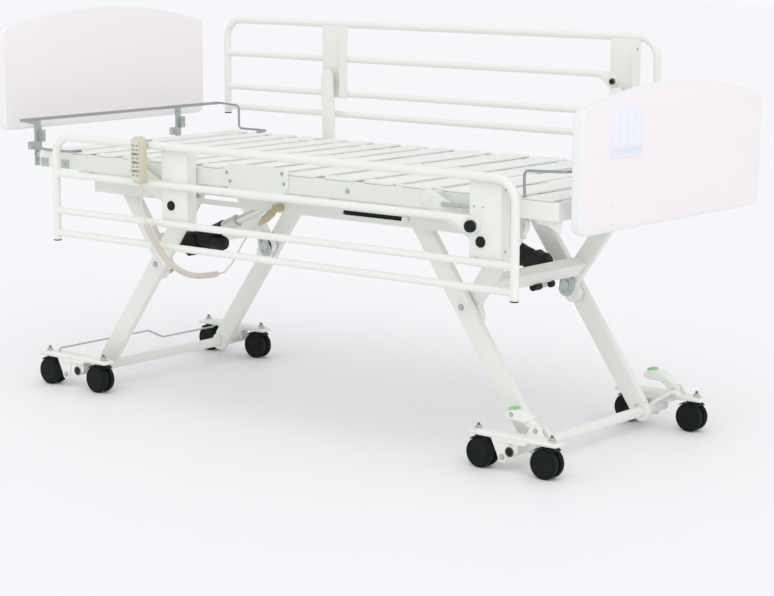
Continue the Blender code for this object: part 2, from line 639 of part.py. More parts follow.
    if e > 0:
        for s, side in SIDES:
            hinge = (base_x + 0.065, BASE_TOP + 0.018)
            toe = (base_x - 0.020, BASE_TOP + 0.058)
            y0, y1 = span(s, ROW_Y - 0.030, ROW_Y - 0.012)
            lever = slab_y(capsule(hinge, toe, 0.009, 6), y0, y1)
            c0, c1 = span(s, ROW_Y - 0.036, ROW_Y - 0.004)
            cap = slab_y([(toe[0] - 0.022, toe[1] + 0.002), (toe[0] + 0.022, toe[1] - 0.004),
                          (toe[0] + 0.020, toe[1] + 0.012), (toe[0] - 0.018, toe[1] + 0.017)], c0, c1)
            hole = rod_y(hinge[0], hinge[1], y0 - 0.001, y1 + 0.001, room(PEDAL_PIN_R))
            solid("pedal_" + side, [lever, cap], [hole], color=(0.28, 0.62, 0.25),
                  origin=(hinge[0], (y0 + y1) / 2, hinge[1]))

    for s, side in SIDES:
        for dx, place in ((-STEM_DX, "left"), (STEM_DX, "right")):
            sx, y = base_x + dx, s * ROW_Y
            wx = sx + (TRAIL if dx < 0 else -TRAIL)
            half = WHEEL_GAP / 2 + WHEEL_W
            hood_r = WHEEL_R + 0.0035
            ring = [(wx + (hood_r + HOOD_T) * math.cos(t), WHEEL_R + (hood_r + HOOD_T) * math.sin(t))
                    for t in [math.radians(20 + 28 * k) for k in range(6)]]
            ring += [(wx + hood_r * math.cos(t), WHEEL_R + hood_r * math.sin(t))
                     for t in [math.radians(160 - 28 * k) for k in range(6)]]
            name = "%s_%s_%s" % (label, side, place)
            core = WHEEL_GAP / 2 - 0.001
            housing = [slab_y(ring, y - half, y + half),
                       rod_y(wx, WHEEL_R, y - core, y + core, hood_r - 0.010),
                       box(wx - 0.015, wx + 0.015, y - core, y + core, WHEEL_R + 0.020, WHEEL_R + hood_r + 0.001),
                       rod_z(sx, y, WHEEL_R + hood_r - 0.004, BASE_TOP + 0.009, STEM_R),
                       rod_z(sx, y, BASE_TOP + 0.0008, BASE_TOP + 0.008, 0.010, 6),
                       box(min(sx, wx) - 0.006, max(sx, wx) + 0.006, y - core, y + core,
                           WHEEL_R + hood_r - 0.012, WHEEL_R + hood_r + HOOD_T - 0.0005)]
            bore = rod_y(wx, WHEEL_R, y - core - 0.001, y + core + 0.001, room(SMALL_PIN_R))
            solid("caster_" + name, housing, [bore], color=(0.05, 0.055, 0.05), origin=(sx, y, BASE_TOP))
            wheels = [rod_y(wx, WHEEL_R, y - half, y - WHEEL_GAP / 2, WHEEL_R, 16),
                      rod_y(wx, WHEEL_R, y + WHEEL_GAP / 2, y + half, WHEEL_R, 16),
                      rod_y(wx, WHEEL_R, y - half + 0.004, y + half - 0.004, SMALL_PIN_R)]
            solid("wheel_" + name, wheels, color=(0.06, 0.06, 0.06), origin=(wx, y, WHEEL_R))

    # Actuator: motor body on the arm's lug, ram reaching between the frame's two plates
    tip = (LIFT_X + e * ACT_FRAME_U, ACT_FRAME_Z)
    reach = math.hypot(tip[0] - lug[0], tip[1] - lug[1])
    ax, az = (tip[0] - lug[0]) / reach, (tip[1] - lug[1]) / reach
    nx, nz = (-az, ax) if ax > 0 else (az, -ax)

    def off(d, up):
        """Point d along the actuator and up across it."""
        return (lug[0] + ax * d + nx * up, lug[1] + az * d + nz * up)

    def bar(d0, d1, up, r, n):
        p, q = off(d0, up), off(d1, up)
        return rod((p[0], act_y, p[1]), (q[0], act_y, q[1]), r, n)

    eye = slab_y(capsule(lug, off(GEAR_FROM + 0.010, 0), 0.013, 4), act_y - ACT_HALF, act_y + ACT_HALF)
    gear = slab_y([off(GEAR_FROM, GEAR_UP), off(GEAR_TO, GEAR_UP), off(GEAR_TO, -GEAR_DOWN),
                   off(GEAR_FROM, -GEAR_DOWN)], act_y - MOTOR_R - 0.004, act_y + MOTOR_R + 0.004)
    motor_z = lug[1] + MOTOR_UP
    motor = rod((lug[0] - e * MOTOR_FROM, act_y, motor_z), (lug[0] - e * MOTOR_TO, act_y, motor_z), MOTOR_R, 14)
    parts = [gear, motor, eye, bar(GEAR_FROM + 0.010, ACT_TUBE_L, 0, ACT_TUBE_R, 12)]
    hole = rod_y(lug[0], lug[1], act_y - 0.040, act_y + 0.040, room(SMALL_PIN_R))
    bore = bar(GEAR_FROM + 0.006, ACT_TUBE_L + 0.010, 0, ACT_ROD_R + RUN, 12)
    solid("motor_" + label, parts, [hole, bore], color=(0.07, 0.07, 0.08), origin=(lug[0], 0, lug[1]))
    fork = slab_y(capsule(off(reach - 0.014, 0), tip, 0.013, 4), act_y - 0.011, act_y + 0.011)
    solid("ram_" + label, [bar(ACT_ROD_IN, reach, 0, ACT_ROD_R, 12), fork], color=(0.62, 0.63, 0.62),
          metal=1.0, rough=0.3, origin=(off(ACT_ROD_IN, 0)[0], 0, off(ACT_ROD_IN, 0)[1]))

# Side rails on their swing arms
for s, side in SIDES:
    swing = SWING_LOW if s < 0 else SWING_HIGH
    sx, sz = SWING_R * math.cos(swing), SWING_R * math.sin(swing)
    x0 = SWING_X[0] + sx - RAIL_PIVOTS[0]
    z0 = SWING_Z + sz - RAIL_PIVOT_Z
    y = s * RAIL_Y
    outline = bend([(x0, y, z0), (x0, y, z0 + RAIL_H), (x0 + RAIL_L, y, z0 + RAIL_H), (x0 + RAIL_L, y, z0)],
                   RAIL_BEND, 4)
    adds = [sweep(outline, RAIL_R, 8)]
    for i, h in enumerate(RAIL_BARS):
        end_x = x0 + (KNOB_AT[0] - PADDLE_L + 0.008 if i == 0 else RAIL_L)
        adds.append(rod((x0, y, z0 + h), (end_x, y, z0 + h), BAR_R, 8))
    cuts = []
    plate_y = (RAIL_Y - RAIL_R - 0.0035, RAIL_Y - RAIL_R - 0.0035 + RAIL_PLATE_T)
    for i, (px, hx) in enumerate(zip(RAIL_PLATES, RAIL_PIVOTS)):
        y0, y1 = span(s, *plate_y)
        a, b = x0 + px - RAIL_PLATE_W / 2, x0 + px + RAIL_PLATE_W / 2
        adds.append(box(a, b, y0, y1, z0 + RAIL_PLATE_Z, z0 + RAIL_H))
        f0, f1 = span(s, plate_y[0] - 0.034, plate_y[0] + 0.003)
        adds.append(box(b - 0.0045, b - 0.0005, f0, f1, z0 + RAIL_PLATE_Z + 0.001, z0 + RAIL_H - 0.018))
        p0, p1 = span(s, SWING_ARM_Y - SWING_ARM_T / 2 - 0.004, plate_y[1] - 0.001)
        adds.append(rod_y(x0 + hx, z0 + RAIL_PIVOT_Z, p0, p1, PIN_R))
        c0, c1 = span(s, plate_y[1] - 0.001, plate_y[1] + 0.0075)
        adds.append(rod_y(x0 + hx, z0 + RAIL_PIVOT_Z, c0, c1, 0.016 if i else 0.015))
    knob_x, knob_z = x0 + KNOB_AT[0], z0 + KNOB_AT[1]
    paddle_y = plate_y[1] - 0.001 + PADDLE_T
    y0, y1 = span(s, plate_y[1] - 0.001, paddle_y)
    adds.append(slab_y(capsule((knob_x - PADDLE_L, z0 + RAIL_BARS[0] - 0.006), (knob_x, knob_z), PADDLE_R, 6), y0, y1))
    y0, y1 = span(s, plate_y[0] - 0.001, paddle_y + 0.001)
    cuts.append(rod_y(knob_x, knob_z, y0, y1, room(SMALL_PIN_R)))
    solid("rail_" + side, adds, cuts, origin=(x0 + RAIL_PIVOTS[0], 0, z0 + RAIL_PIVOT_Z))

    y0, y1 = span(s, SWING_ARM_Y - SWING_ARM_T / 2, SWING_ARM_Y + SWING_ARM_T / 2)
    for px, place in zip(SWING_X, ("left", "right")):
        q = (px + sx, SWING_Z + sz)
        holes = [rod_y(c[0], c[1], y0 - 0.001, y1 + 0.001, room(PIN_R)) for c in ((px, SWING_Z), q)]
        solid("swing_%s_%s" % (side, place), [slab_y(capsule((px, SWING_Z), q, SWING_ARM_R, 5), y0, y1)],
              holes, origin=(px, 0, SWING_Z))
    a, b = span(s, plate_y[0] - 0.012, paddle_y + 0.002)
    shaft = rod_y(knob_x, knob_z, a, b, SMALL_PIN_R)
    a, b = span(s, paddle_y + GAP, paddle_y + 0.018)
    head = rod_y(knob_x, knob_z, a, b, KNOB_R, 12)
    solid("knob_" + side, [shaft, head], color=(0.05, 0.05, 0.055), origin=(knob_x, 0, knob_z))
    if s < 0:
        RAIL_TOP = z0 + RAIL_H

# Handset hung on the near rail, with its keys
back = -(RAIL_Y + RAIL_R + 0.0015)
front = back - SET_T
half = SET_W / 2
shape = []
for cx, cz, turn in ((SET_X + half - 0.016, SET_Z0 + 0.016, -90), (SET_X + half - 0.010, SET_Z0 + SET_H - 0.010, 0),
                     (SET_X - half + 0.010, SET_Z0 + SET_H - 0.010, 90), (SET_X - half + 0.016, SET_Z0 + 0.016, 180)):
    r = 0.016 if cz < SET_Z0 + 0.05 else 0.010
    for i in range(5):
        t = math.radians(turn + 22.5 * i)
        shape.append((cx + r * math.cos(t), cz + r * math.sin(t)))
body = slab_y(shape, front, back)
tube_top = RAIL_TOP + RAIL_R + 0.0006
lip = -(RAIL_Y - RAIL_R - 0.0008)
hook = [(back - 0.004, SET_Z0 + SET_H - 0.030), (back - 0.0002, SET_Z0 + SET_H - 0.030), (back - 0.0002, tube_top),
        (lip, tube_top), (lip, tube_top - 0.022), (lip + 0.003, tube_top - 0.022), (lip + 0.003, tube_top + 0.003),
        (back - 0.004, tube_top + 0.003)]
hook = slab_x(hook, SET_X - 0.012, SET_X + 0.012)
pockets = [box(SET_X - KEY_W / 2 - GAP, SET_X + KEY_W / 2 + GAP, front - 0.001, front + KEY_POCKET,
               SET_Z0 + up - KEY_H / 2 - GAP, SET_Z0 + up + KEY_H / 2 + GAP) for up in KEY_UP]
solid("handset", [body, hook], pockets, color=(0.52, 0.50, 0.37))
for i, up in enumerate(KEY_UP):
    y1 = front + KEY_POCKET - 0.0013
    solid("key_%d" % (i + 1), [box(SET_X - KEY_W / 2, SET_X + KEY_W / 2, y1 - KEY_T, y1,
                                   SET_Z0 + up - KEY_H / 2, SET_Z0 + up + KEY_H / 2)],
          color=(0.62, 0.60, 0.50), origin=(SET_X, y1, SET_Z0 + up))

# Handset cord: straight tail, curls, thin lead to the plug under the deck
TAIL = [(-0.4180, -0.5475, SET_Z0 - GAP), (-0.4180, -0.5475, 0.700), (-0.4150, -0.5490, 0.674),
        (-0.4060, -0.5510, 0.642), (-0.3927, -0.5520, 0.611)]
CURL = [(-0.3927, -0.5520, 0.611), (-0.3814, -0.5520, 0.590), (-0.3648, -0.5520, 0.566), (-0.3463, -0.5520, 0.544),
        (-0.3237, -0.5520, 0.5210), (-0.2992, -0.5500, 0.5005), (-0.2771, -0.5460, 0.4850), (-0.2551, -0.5380, 0.4725),
        (-0.2345, -0.5280, 0.4645), (-0.2163, -0.5160, 0.4612), (-0.1995, -0.5020, 0.4612), (-0.1840, -0.4870, 0.4633),
        (-0.1665, -0.4680, 0.4668)]
LEAD = [(-0.1665, -0.4680, 0.4668), (-0.1550, -0.4560, 0.4720), (-0.1470, -0.4480, 0.4860), (-0.1360, -0.4380, 0.5040),
        (-0.1290, -0.4240, 0.5300), (-0.1250, -0.4080, 0.5560), (-0.1210, -0.3880, 0.5780), (-0.1120, -0.3740, 0.5965),
        (-0.1048, -0.3682, 0.6042), (-0.0960, -0.3660, 0.6120)]
PLUG_L = 0.086


def smooth_path(points, per=12):
    """Dense path through the points, as a chain of cubic pieces."""
    pts = [Vector(p) for p in points]
    pts = [2 * pts[0] - pts[1]] + pts + [2 * pts[-1] - pts[-2]]
    out = []
    for a, b, c, d in zip(pts, pts[1:], pts[2:], pts[3:]):
        for i in range(per):
            t = i / per
            out.append(0.5 * (2 * b + (c - a) * t + (2 * a - 5 * b + 4 * c - d) * t * t
                              + (3 * b - a - 3 * c + d) * t ** 3))
    out.append(pts[-2])
    return out


def resample(path, step):
    """Points at equal steps along a path."""
    lengths = [0.0]
    for a, b in zip(path, path[1:]):
        lengths.append(lengths[-1] + (b - a).length)
    count = max(2, round(lengths[-1] / step))
    out, k = [], 0
    for i in range(count + 1):
        want = lengths[-1] * i / count
        while k < len(path) - 2 and lengths[k + 1] < want:
            k += 1
        f = (want - lengths[k]) / max(lengths[k + 1] - lengths[k], 1e-9)
        out.append(path[k].lerp(path[k + 1], f))
    return out, lengths[-1]


def curl_points():
    """Points of the curls: a circle of the coil's radius carried along the hanging line, with
    the radius eased in and out so that both ends of the wire lie on the line."""
    axis = smooth_path(CURL, 24)
    turns = round(resample(axis, 0.01)[1] / COIL_PITCH)
    line, length = resample(axis, resample(axis, 0.01)[1] / (turns * COIL_POINTS))
    side = Vector((0, 1, 0))
    out = []
    for i, p in enumerate(line):
        t = (line[min(i + 1, len(line) - 1)] - line[max(i - 1, 0)]).normalized()
        side = (side - t * side.dot(t)).normalized()
        up = t.cross(side)
        ease = min(1.0, i / COIL_POINTS, (len(line) - 1 - i) / COIL_POINTS)
        a = 2 * math.pi * i / COIL_POINTS
        out.append(p + (side * math.cos(a) + up * math.sin(a)) * (COIL_R * ease))
    return out, turns, length


tail, tail_l = resample(smooth_path(TAIL), 0.015)
lead, lead_l = resample(smooth_path(LEAD), 0.012)
curls, turns, axis_l = curl_points()
least = min((curls[i] - curls[j]).length for i in range(COIL_POINTS, len(curls) - COIL_POINTS)
            for j in range(i + COIL_POINTS // 2 + 1, min(i + 3 * COIL_POINTS, len(curls) - COIL_POINTS)))
wire_l = sum((b - a).length for a, b in zip(curls, curls[1:]))
print("curls %d, hanging line %.3f m, wire in the curls %.3f m, least gap %.2f mm"
      % (turns, axis_l, wire_l, (least - 2 * CORD_R) * 1000))
print("tail %.3f m, lead %.3f m" % (tail_l, lead_l))
route = tail + curls[1:] + lead[1:]
curve = bpy.data.curves.new("handset_cord", "CURVE")
curve.dimensions = "3D"
curve.bevel_depth = CORD_R
curve.bevel_resolution = 1
curve.use_fill_caps = True
spline = curve.splines.new("POLY")
spline.points.add(len(route) - 1)
for point, p in zip(spline.points, route):
    point.co = (p.x, p.y, p.z, 1.0)
cord = bpy.data.objects.new("handset_cord", curve)
SCENE.collection.objects.link(cord)
mat = bpy.data.materials.new("handset_cord")
mat.use_nodes = True
mat.node_tree.nodes["Principled BSDF"].inputs["Base Color"].default_value = (0.52, 0.47, 0.36, 1.0)
curve.materials.append(mat)

plug_a = Vector(route[-1])
toward = (Vector(LEAD[-1]) - Vector(LEAD[-2])).normalized()
plug_b = plug_a + toward * PLUG_L
body = rod(plug_a + toward * GAP, plug_a + toward * 0.042, 0.009, 12)
neck = rod(plug_a + toward * 0.040, plug_b, 0.012, 12)
end = box(plug_b.x - 0.014, plug_b.x + 0.014, -TRACK_Y - 0.022, -TRACK_Y - GAP, plug_b.z - 0.009, plug_b.z + 0.009)
solid("cord_plug", [body, neck, end], color=(0.60, 0.50, 0.33))


def reach(name, pick):
    """Outermost Y of a piece."""
    obj = bpy.data.objects[name]
    return obj.location.y + pick(v.co.y for v in obj.data.vertices)


# The handset stands out on one side, so the bed is moved over until the origin is midway across
middle = (reach("key_1", min) + reach("knob_far", max)) / 2
for obj in SCENE.objects:
    obj.location.y -= middle
print("bed's middle line at Y %.5f m" % -middle)
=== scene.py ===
import math
import bpy
import numpy as np
from mathutils import Matrix, Vector


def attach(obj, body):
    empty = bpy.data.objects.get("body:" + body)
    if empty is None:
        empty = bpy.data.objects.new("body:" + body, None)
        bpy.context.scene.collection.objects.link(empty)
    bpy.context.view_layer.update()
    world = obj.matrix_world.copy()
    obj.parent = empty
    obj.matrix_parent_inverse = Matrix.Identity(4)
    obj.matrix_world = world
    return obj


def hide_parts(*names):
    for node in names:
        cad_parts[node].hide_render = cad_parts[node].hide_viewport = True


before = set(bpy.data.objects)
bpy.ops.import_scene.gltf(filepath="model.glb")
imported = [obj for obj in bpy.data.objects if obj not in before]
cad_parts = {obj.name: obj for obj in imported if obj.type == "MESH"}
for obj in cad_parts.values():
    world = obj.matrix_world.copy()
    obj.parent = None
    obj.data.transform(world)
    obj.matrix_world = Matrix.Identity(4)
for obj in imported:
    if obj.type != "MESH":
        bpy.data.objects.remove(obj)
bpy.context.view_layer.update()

# Places and sizes shared with the solids, in metres, measured from the bed's own middle line
MIDDLE_Y = 0.01715
HALF_LEN, PANEL_T, PANEL_W, PANEL_H, PANEL_RISE, PANEL_CORNER = 1.154, 0.036, 0.94, 0.338, 0.053, 0.032
FOOT_PANEL_Z, HEAD_PANEL_UP = 0.7, 0.142
SIDE_Y, SIDE_W, SIDE_H, SIDE_TOP = 0.44, 0.025, 0.05, 0.784
FRAME_END, DECK_END = {-1: 0.975, 1: 1.07}, {-1: 0.955, 1: 1.042}
TRACK_Y, TRACK_T, TRACK_FLANGE, TRACK_Z0 = 0.337, 0.004, 0.037, 0.652
LIFT_X, PIVOT_U, PIVOT_Z, LEG_ANGLE = 0.008, 0.79, 0.675, math.radians(55)
ARM_L, ARM_Y, ARM_T, ARM_R = 0.299, 0.2505, 0.025, 0.0275
SHIN_L, LEG_Y, LEG_T, LEG_R = 0.449, 0.28, 0.025, 0.03
ACT_Y, ACT_FRAME_U, ACT_FRAME_Z = 0.185, 0.215, 0.645
BASE_OUT = {-1: 0.028, 1: 0.002}
ROW_Y, STEM_DX, BASE_HALF, BASE_TOP, BASE_T, BASE_W = 0.383, 0.127, 0.155, 0.11, 0.016, 0.046
WHEEL_R, WHEEL_W, WHEEL_GAP, TRAIL = 0.044, 0.018, 0.014, 0.016
SLAT_TOP, SLAT_T, SLAT_HALF, SLAT_SPACE, HINGE_Z = 0.7903, 0.006, 0.445, 0.04, 0.768
BACK_X, THIGH_X, KNEE_X, HINGE_TO_SLAT = -0.166, 0.06, 0.36, 0.021
RAIL_Y, RAIL_R, BAR_R, RAIL_L, RAIL_H, RAIL_BEND = 0.5146, 0.0125, 0.011, 1.8015, 0.331, 0.065
RAIL_BARS, RAIL_PIVOTS, RAIL_PIVOT_Z = (0.2124, 0.0944, 0.023), (0.502, 1.68), 0.15
RAIL_PLATES, PLATE_W, PLATE_Z, PLATE_T = (0.514, 1.693), 0.108, 0.08, 0.006
SWING_R, SWING_X, SWING_Z, SWING_ARM_R, SWING_ARM_Y = 0.2268, (-0.531, 0.647), 0.767, 0.026, 0.475
SWING_ANGLE = {-1: math.radians(-26.7), 1: math.radians(92.0)}
KNOB_AT, KNOB_R, PADDLE_R, PADDLE_L, PADDLE_T = (1.653, 0.192), 0.017, 0.024, 0.055, 0.0085
SET_X, SET_W, SET_T, SET_Z0, SET_H = -0.4255, 0.046, 0.034, 0.729, 0.145
CORD_R, COIL_R, COIL_PITCH = 0.0027, 0.0073, 0.006
ALONG, ACROSS, UP = (1, 0, 0), (0, 1, 0), (0, 0, 1)
SIDES = ((-1, "near"), (1, "far"))
ENDS = ((-1, "head"), (1, "foot"))
# Faces that pieces sit on: the side rail's outside and underside, the panel's inside, the arm's
# inside, the leg's outside and the base beam's outside
SIDE_FACE, SIDE_LOW, PANEL_IN = SIDE_Y + SIDE_W / 2, SIDE_TOP - SIDE_H, HALF_LEN - PANEL_T
ARM_IN, LEG_OUT, BASE_OUTSIDE = ARM_Y - ARM_T / 2, LEG_Y + LEG_T / 2, ROW_Y + BASE_W / 2


# Shapes: each is (points, faces) and is worked out on a grid

def unit(v):
    """Each row divided by its length."""
    v = np.asarray(v, float)
    return v / np.maximum(np.linalg.norm(v, axis=-1, keepdims=True), 1e-12)


def skin(grid, ends=True):
    """Faces over a grid of rows of points: row i joins row i + 1, the last point of a row joins
    the first, and where ends is true the first and last rows are closed by flat faces."""
    rows, cols = grid.shape[:2]
    i, j = np.meshgrid(np.arange(rows - 1), np.arange(cols), indexing="ij")
    k = (j + 1) % cols
    quads = np.stack([i * cols + j, i * cols + k, (i + 1) * cols + k, (i + 1) * cols + j],
                     -1).reshape(-1, 4)
    faces = quads.tolist()
    if ends:
        faces += [list(range(cols))[::-1], list(range((rows - 1) * cols, rows * cols))]
    return grid.reshape(-1, 3), faces


def rounded(points, radius, steps=5, closed=False):
    """A path with its corners turned into arcs. The arc at a corner touches both edges at
    radius / tan(half the corner's angle) from it, or at most 0.48 of the shorter edge."""
    pts = np.asarray(points, float)
    n = len(pts)
    out = []
    for i in range(n):
        if not closed and i in (0, n - 1):
            out.append(pts[i:i + 1])
            continue
        a, b, c = pts[i - 1], pts[i], pts[(i + 1) % n]
        u, v = unit(a - b), unit(c - b)
        r = radius[i] if np.ndim(radius) else radius
        half = math.acos(float(np.clip(u @ v, -1, 1))) / 2
        if half > 1.5702 or r <= 0:
            out.append(b[None])
            continue
        cut = min(r / math.tan(half), 0.48 * np.linalg.norm(a - b), 0.48 * np.linalg.norm(c - b))
        r = cut * math.tan(half)
        mid = b + unit(u + v) * (r / math.sin(half))
        p, q = b + u * cut - mid, b + v * cut - mid
        turn = math.pi - 2 * half
        t = np.linspace(0, 1, steps + 1)[:, None]
        out.append(mid + (p * np.sin((1 - t) * turn) + q * np.sin(t * turn)) / math.sin(turn))
    return np.concatenate(out)


def swept(path, r, first, second, n):
    """A circle of radius r carried along a path: at each point it starts at the first direction
    there and turns towards the second."""
    a = np.linspace(0, 2 * math.pi, n, endpoint=False)[:, None]
    return skin(path[:, None] + r * (np.cos(a) * first[:, None] + np.sin(a) * second[:, None]))


def tube(path, r, n, ref=ACROSS):
    """A circle of radius r (one value, or one per point) carried along a path. At each point its
    plane is square to the path's direction, and ref, which never lies along the path, sets its turn."""
    path = np.asarray(path, float)
    t = unit(np.gradient(path, axis=0))
    side = unit(np.cross(t, np.asarray(ref, float)))
    r = np.broadcast_to(np.asarray(r, float), (len(path),))[:, None, None]
    return swept(path, r, np.cross(side, t), side, n)


def spokes(axis, a):
    """The axis at length 1, and directions square to it, one for each angle of a."""
    axis = unit(axis)
    side = unit(np.cross(axis, (0.31, 0.87, 0.38)))
    return axis, np.cos(a)[:, None] * side + np.sin(a)[:, None] * np.cross(axis, side)


def turned(profile, at, axis, n=32):
    """A profile of (radius, height) turned about an axis through a point, closed flat at both ends."""
    r, h = np.asarray(profile, float).T[:, :, None, None]
    axis, ring = spokes(axis, np.linspace(0, 2 * math.pi, n, endpoint=False))
    return skin(np.asarray(at, float) + r * ring + h * axis)


def rod(r, lo, hi, at, axis, n=32):
    """A plain cylinder from lo to hi along an axis through a point."""
    return turned([(r, lo), (r, hi)], at, axis, n)


def ring_turned(profile, at, axis, n=40):
    """A closed profile of (radius, height) turned about an axis, so that its bore stays open."""
    r, h = np.asarray(profile, float).T[:, None, :, None]
    axis, ring = spokes(axis, np.linspace(0, 2 * math.pi, n + 1)[:-1])
    points, faces = skin(np.asarray(at, float) + r * ring[:, None] + h * axis, ends=False)
    cols = len(profile)
    last = (n - 1) * cols
    faces += [[last + j, last + (j + 1) % cols, (j + 1) % cols, j] for j in range(cols)]
    return points, [f[::-1] for f in faces]


def inset(outline, d):
    """An outline (counter-clockwise) moved inwards by d along its corners' bisectors."""
    e = unit(np.roll(outline, -1, 0) - outline)
    normal = np.stack([-e[:, 1], e[:, 0]], -1)
    bis = normal + np.roll(normal, 1, 0)
    bis /= np.maximum((bis * bis).sum(-1, keepdims=True) / 2, 0.25)
    return outline + bis * d


def slab(outline, lo, hi, edge=0.001, axis="y", steps=3):
    """An outline pushed through from lo to hi, with a quarter-round of radius edge along both
    rims: level = lo + edge (1 - cos a) and inset = edge (1 - sin a), for a from 0 to 90 degrees.
    The outline is in X and Z for axis y, Y and Z for axis x, and X and Y for axis z."""
    outline = np.asarray(outline, float)
    x, y = outline[:, 0], outline[:, 1]
    if (x * np.roll(y, -1) - np.roll(x, -1) * y).sum() < 0:
        outline = outline[::-1]
    lo, hi = min(lo, hi), max(lo, hi)
    edge = min(edge, (hi - lo) * 0.49)
    a = np.linspace(0, math.pi / 2, steps + 1)
    depth, level = edge * (1 - np.sin(a)), edge * (1 - np.cos(a))
    rows = [(d, lo + z) for d, z in zip(depth, level)]
    rows += [(d, hi - z) for d, z in zip(depth[::-1], level[::-1])]
    grid = np.stack([np.column_stack([inset(outline, d), np.full(len(outline), z)]) for d, z in rows])
    order = {"z": (0, 1, 2), "y": (0, 2, 1), "x": (2, 0, 1)}[axis]
    points, faces = skin(grid[..., order])
    if axis == "y":
        faces = [f[::-1] for f in faces]
    return points, faces


def circle(at, r, t):
    """Points at the angles t on a circle of radius r about a point."""
    return np.asarray(at, float) + r * np.column_stack([np.cos(t), np.sin(t)])


def capsule(p, q, r):
    """Outline of a bar from p to q with half-round ends of radius r."""
    a = math.atan2(q[1] - p[1], q[0] - p[0])
    t = np.linspace(-math.pi / 2, math.pi / 2, 15)
    return np.concatenate([circle(q, r, a + t), circle(p, r, a + math.pi + t)])


def corners(x0, x1, y0, y1):
    """The four corners of an upright rectangle, counter-clockwise."""
    return [(x0, y0), (x1, y0), (x1, y1), (x0, y1)]


def plate(points, radius, lo, hi, edge=0.001, axis="y", steps=3):
    """An outline with rounded corners pushed through from lo to hi."""
    return slab(rounded(points, radius, steps, True), lo, hi, edge, axis)


def block(x0, x1, y0, y1, z0, z1, edge=0.001, corner=0.0):
    """A box with rounded rims, and rounded upright corners where corner is given."""
    flat = corners(x0, x1, y0, y1)
    return slab(rounded(flat, corner, 4, True) if corner else flat, z0, z1, edge, "z")


def beam(p, q, w, h, corner, up):
    """A bar of rounded rectangular section, w across and h along up, carried from p to q, with a
    chamfer of 1 mm at both ends."""
    p, q = np.asarray(p, float), np.asarray(q, float)
    t = unit(q - p)
    side = unit(np.cross(t, np.asarray(up, float)))
    rise = np.cross(side, t)
    ring = rounded(corners(-w / 2, w / 2, -h / 2, h / 2), corner, 4, True)
    length, cut = np.linalg.norm(q - p), 0.001
    small = inset(ring, cut)
    rows = [p + t * at + part[:, :1] * side + part[:, 1:] * rise
            for at, part in ((0, small), (cut, ring), (length - cut, ring), (length, small))]
    return skin(np.stack(rows)[:, ::-1])


def bolt(at, axis, r, h, washer=0.0):
    """A hexagon head with a chamfered top, on a washer where its radius is given."""
    out, base = [], 0.0
    if washer:
        rim, base = washer - 0.0004, 0.0014
        out.append(turned([(rim, 0), (washer, 0.0004), (washer, 0.0012), (rim, 0.0016)], at, axis, 24))
    head = [(r, base), (r, base + h * 0.82), (r * 0.86, base + h), (r * 0.1, base + h)]
    return out + [turned(head, at, axis, 6)]


def lift_points(end):
    """Frame pivot, leg pivot, slot pin and base tube of one end, in X and Z."""
    c, s = math.cos(LEG_ANGLE), math.sin(LEG_ANGLE)
    mid = (PIVOT_U - ARM_L * c, PIVOT_Z - ARM_L * s)
    return [np.array((LIFT_X + end * u, z)) for u, z in (
        (PIVOT_U, PIVOT_Z), mid, (PIVOT_U - 2 * ARM_L * c, PIVOT_Z),
        (mid[0] + SHIN_L * c, mid[1] - SHIN_L * s))]


# Materials

def linear(code):
    """An sRGB hex colour as linear values: c / 12.92 up to 0.04045, else ((c + 0.055) / 1.055) ^ 2.4."""
    c = np.array([int(code[i:i + 2], 16) / 255 for i in (1, 3, 5)])
    c = np.where(c <= 0.04045, c / 12.92, ((c + 0.055) / 1.055) ** 2.4)
    return (*c.tolist(), 1.0)


def node(tree, kind, links=None, **settings):
    """Adds a node. A setting with a capital is a socket's value, others are the node's own."""
    made = tree.nodes.new(kind)
    for key, value in settings.items():
        if key[0].isupper():
            made.inputs[key.replace("_", " ")].default_value = value
        else:
            setattr(made, key, value)
    for key, source in (links or {}).items():
        tree.links.new(source, made.inputs[key])
    return made


def finish(name, colour, rough, metal=0.0, tone=0.02, tone_mm=120.0, grain_mm=1.6, depth_mm=0.03,
           stretch=(1, 1, 1), rough_var=0.05, **shader):
    """A surface: over tone_mm its colour drifts from 0.6 of tone lighter to 2.2 of tone darker, and
    over grain_mm its height and gloss vary, all stretched alike, on Object coordinates in metres."""
    mat = bpy.data.materials.new(name)
    mat.use_nodes = True
    tree = mat.node_tree
    bsdf = tree.nodes["Principled BSDF"]
    place = node(tree, "ShaderNodeTexCoord")
    turn = node(tree, "ShaderNodeMapping", {"Vector": place.outputs["Object"]}, Scale=stretch)
    drift = node(tree, "ShaderNodeTexNoise", {"Vector": turn.outputs[0]}, Scale=1000 / tone_mm, Detail=4.0)
    base = linear(colour)
    dark = tuple(v * (1 - tone * 2.2) for v in base[:3]) + (1.0,)
    light = tuple(min(1.0, v * (1 + tone * 0.6)) for v in base[:3]) + (1.0,)
    mix = node(tree, "ShaderNodeMix", {"Factor": drift.outputs[0]}, data_type="RGBA")
    mix.inputs[6].default_value, mix.inputs[7].default_value = light, dark
    tree.links.new(mix.outputs[2], bsdf.inputs["Base Color"])
    fine = node(tree, "ShaderNodeTexNoise", {"Vector": turn.outputs[0]}, Scale=1000 / grain_mm, Detail=3.0)
    gloss = node(tree, "ShaderNodeMapRange", {"Value": fine.outputs[0]},
                 To_Min=max(rough - rough_var, 0.02), To_Max=rough + rough_var)
    tree.links.new(gloss.outputs[0], bsdf.inputs["Roughness"])
    bump = node(tree, "ShaderNodeBump", {"Height": fine.outputs[0]}, Strength=1.0, Distance=depth_mm / 1000)
    tree.links.new(bump.outputs[0], bsdf.inputs["Normal"])
    bsdf.inputs["Metallic"].default_value = metal
    for key, value in shader.items():
        bsdf.inputs[key.replace("_", " ")].default_value = value
    return mat


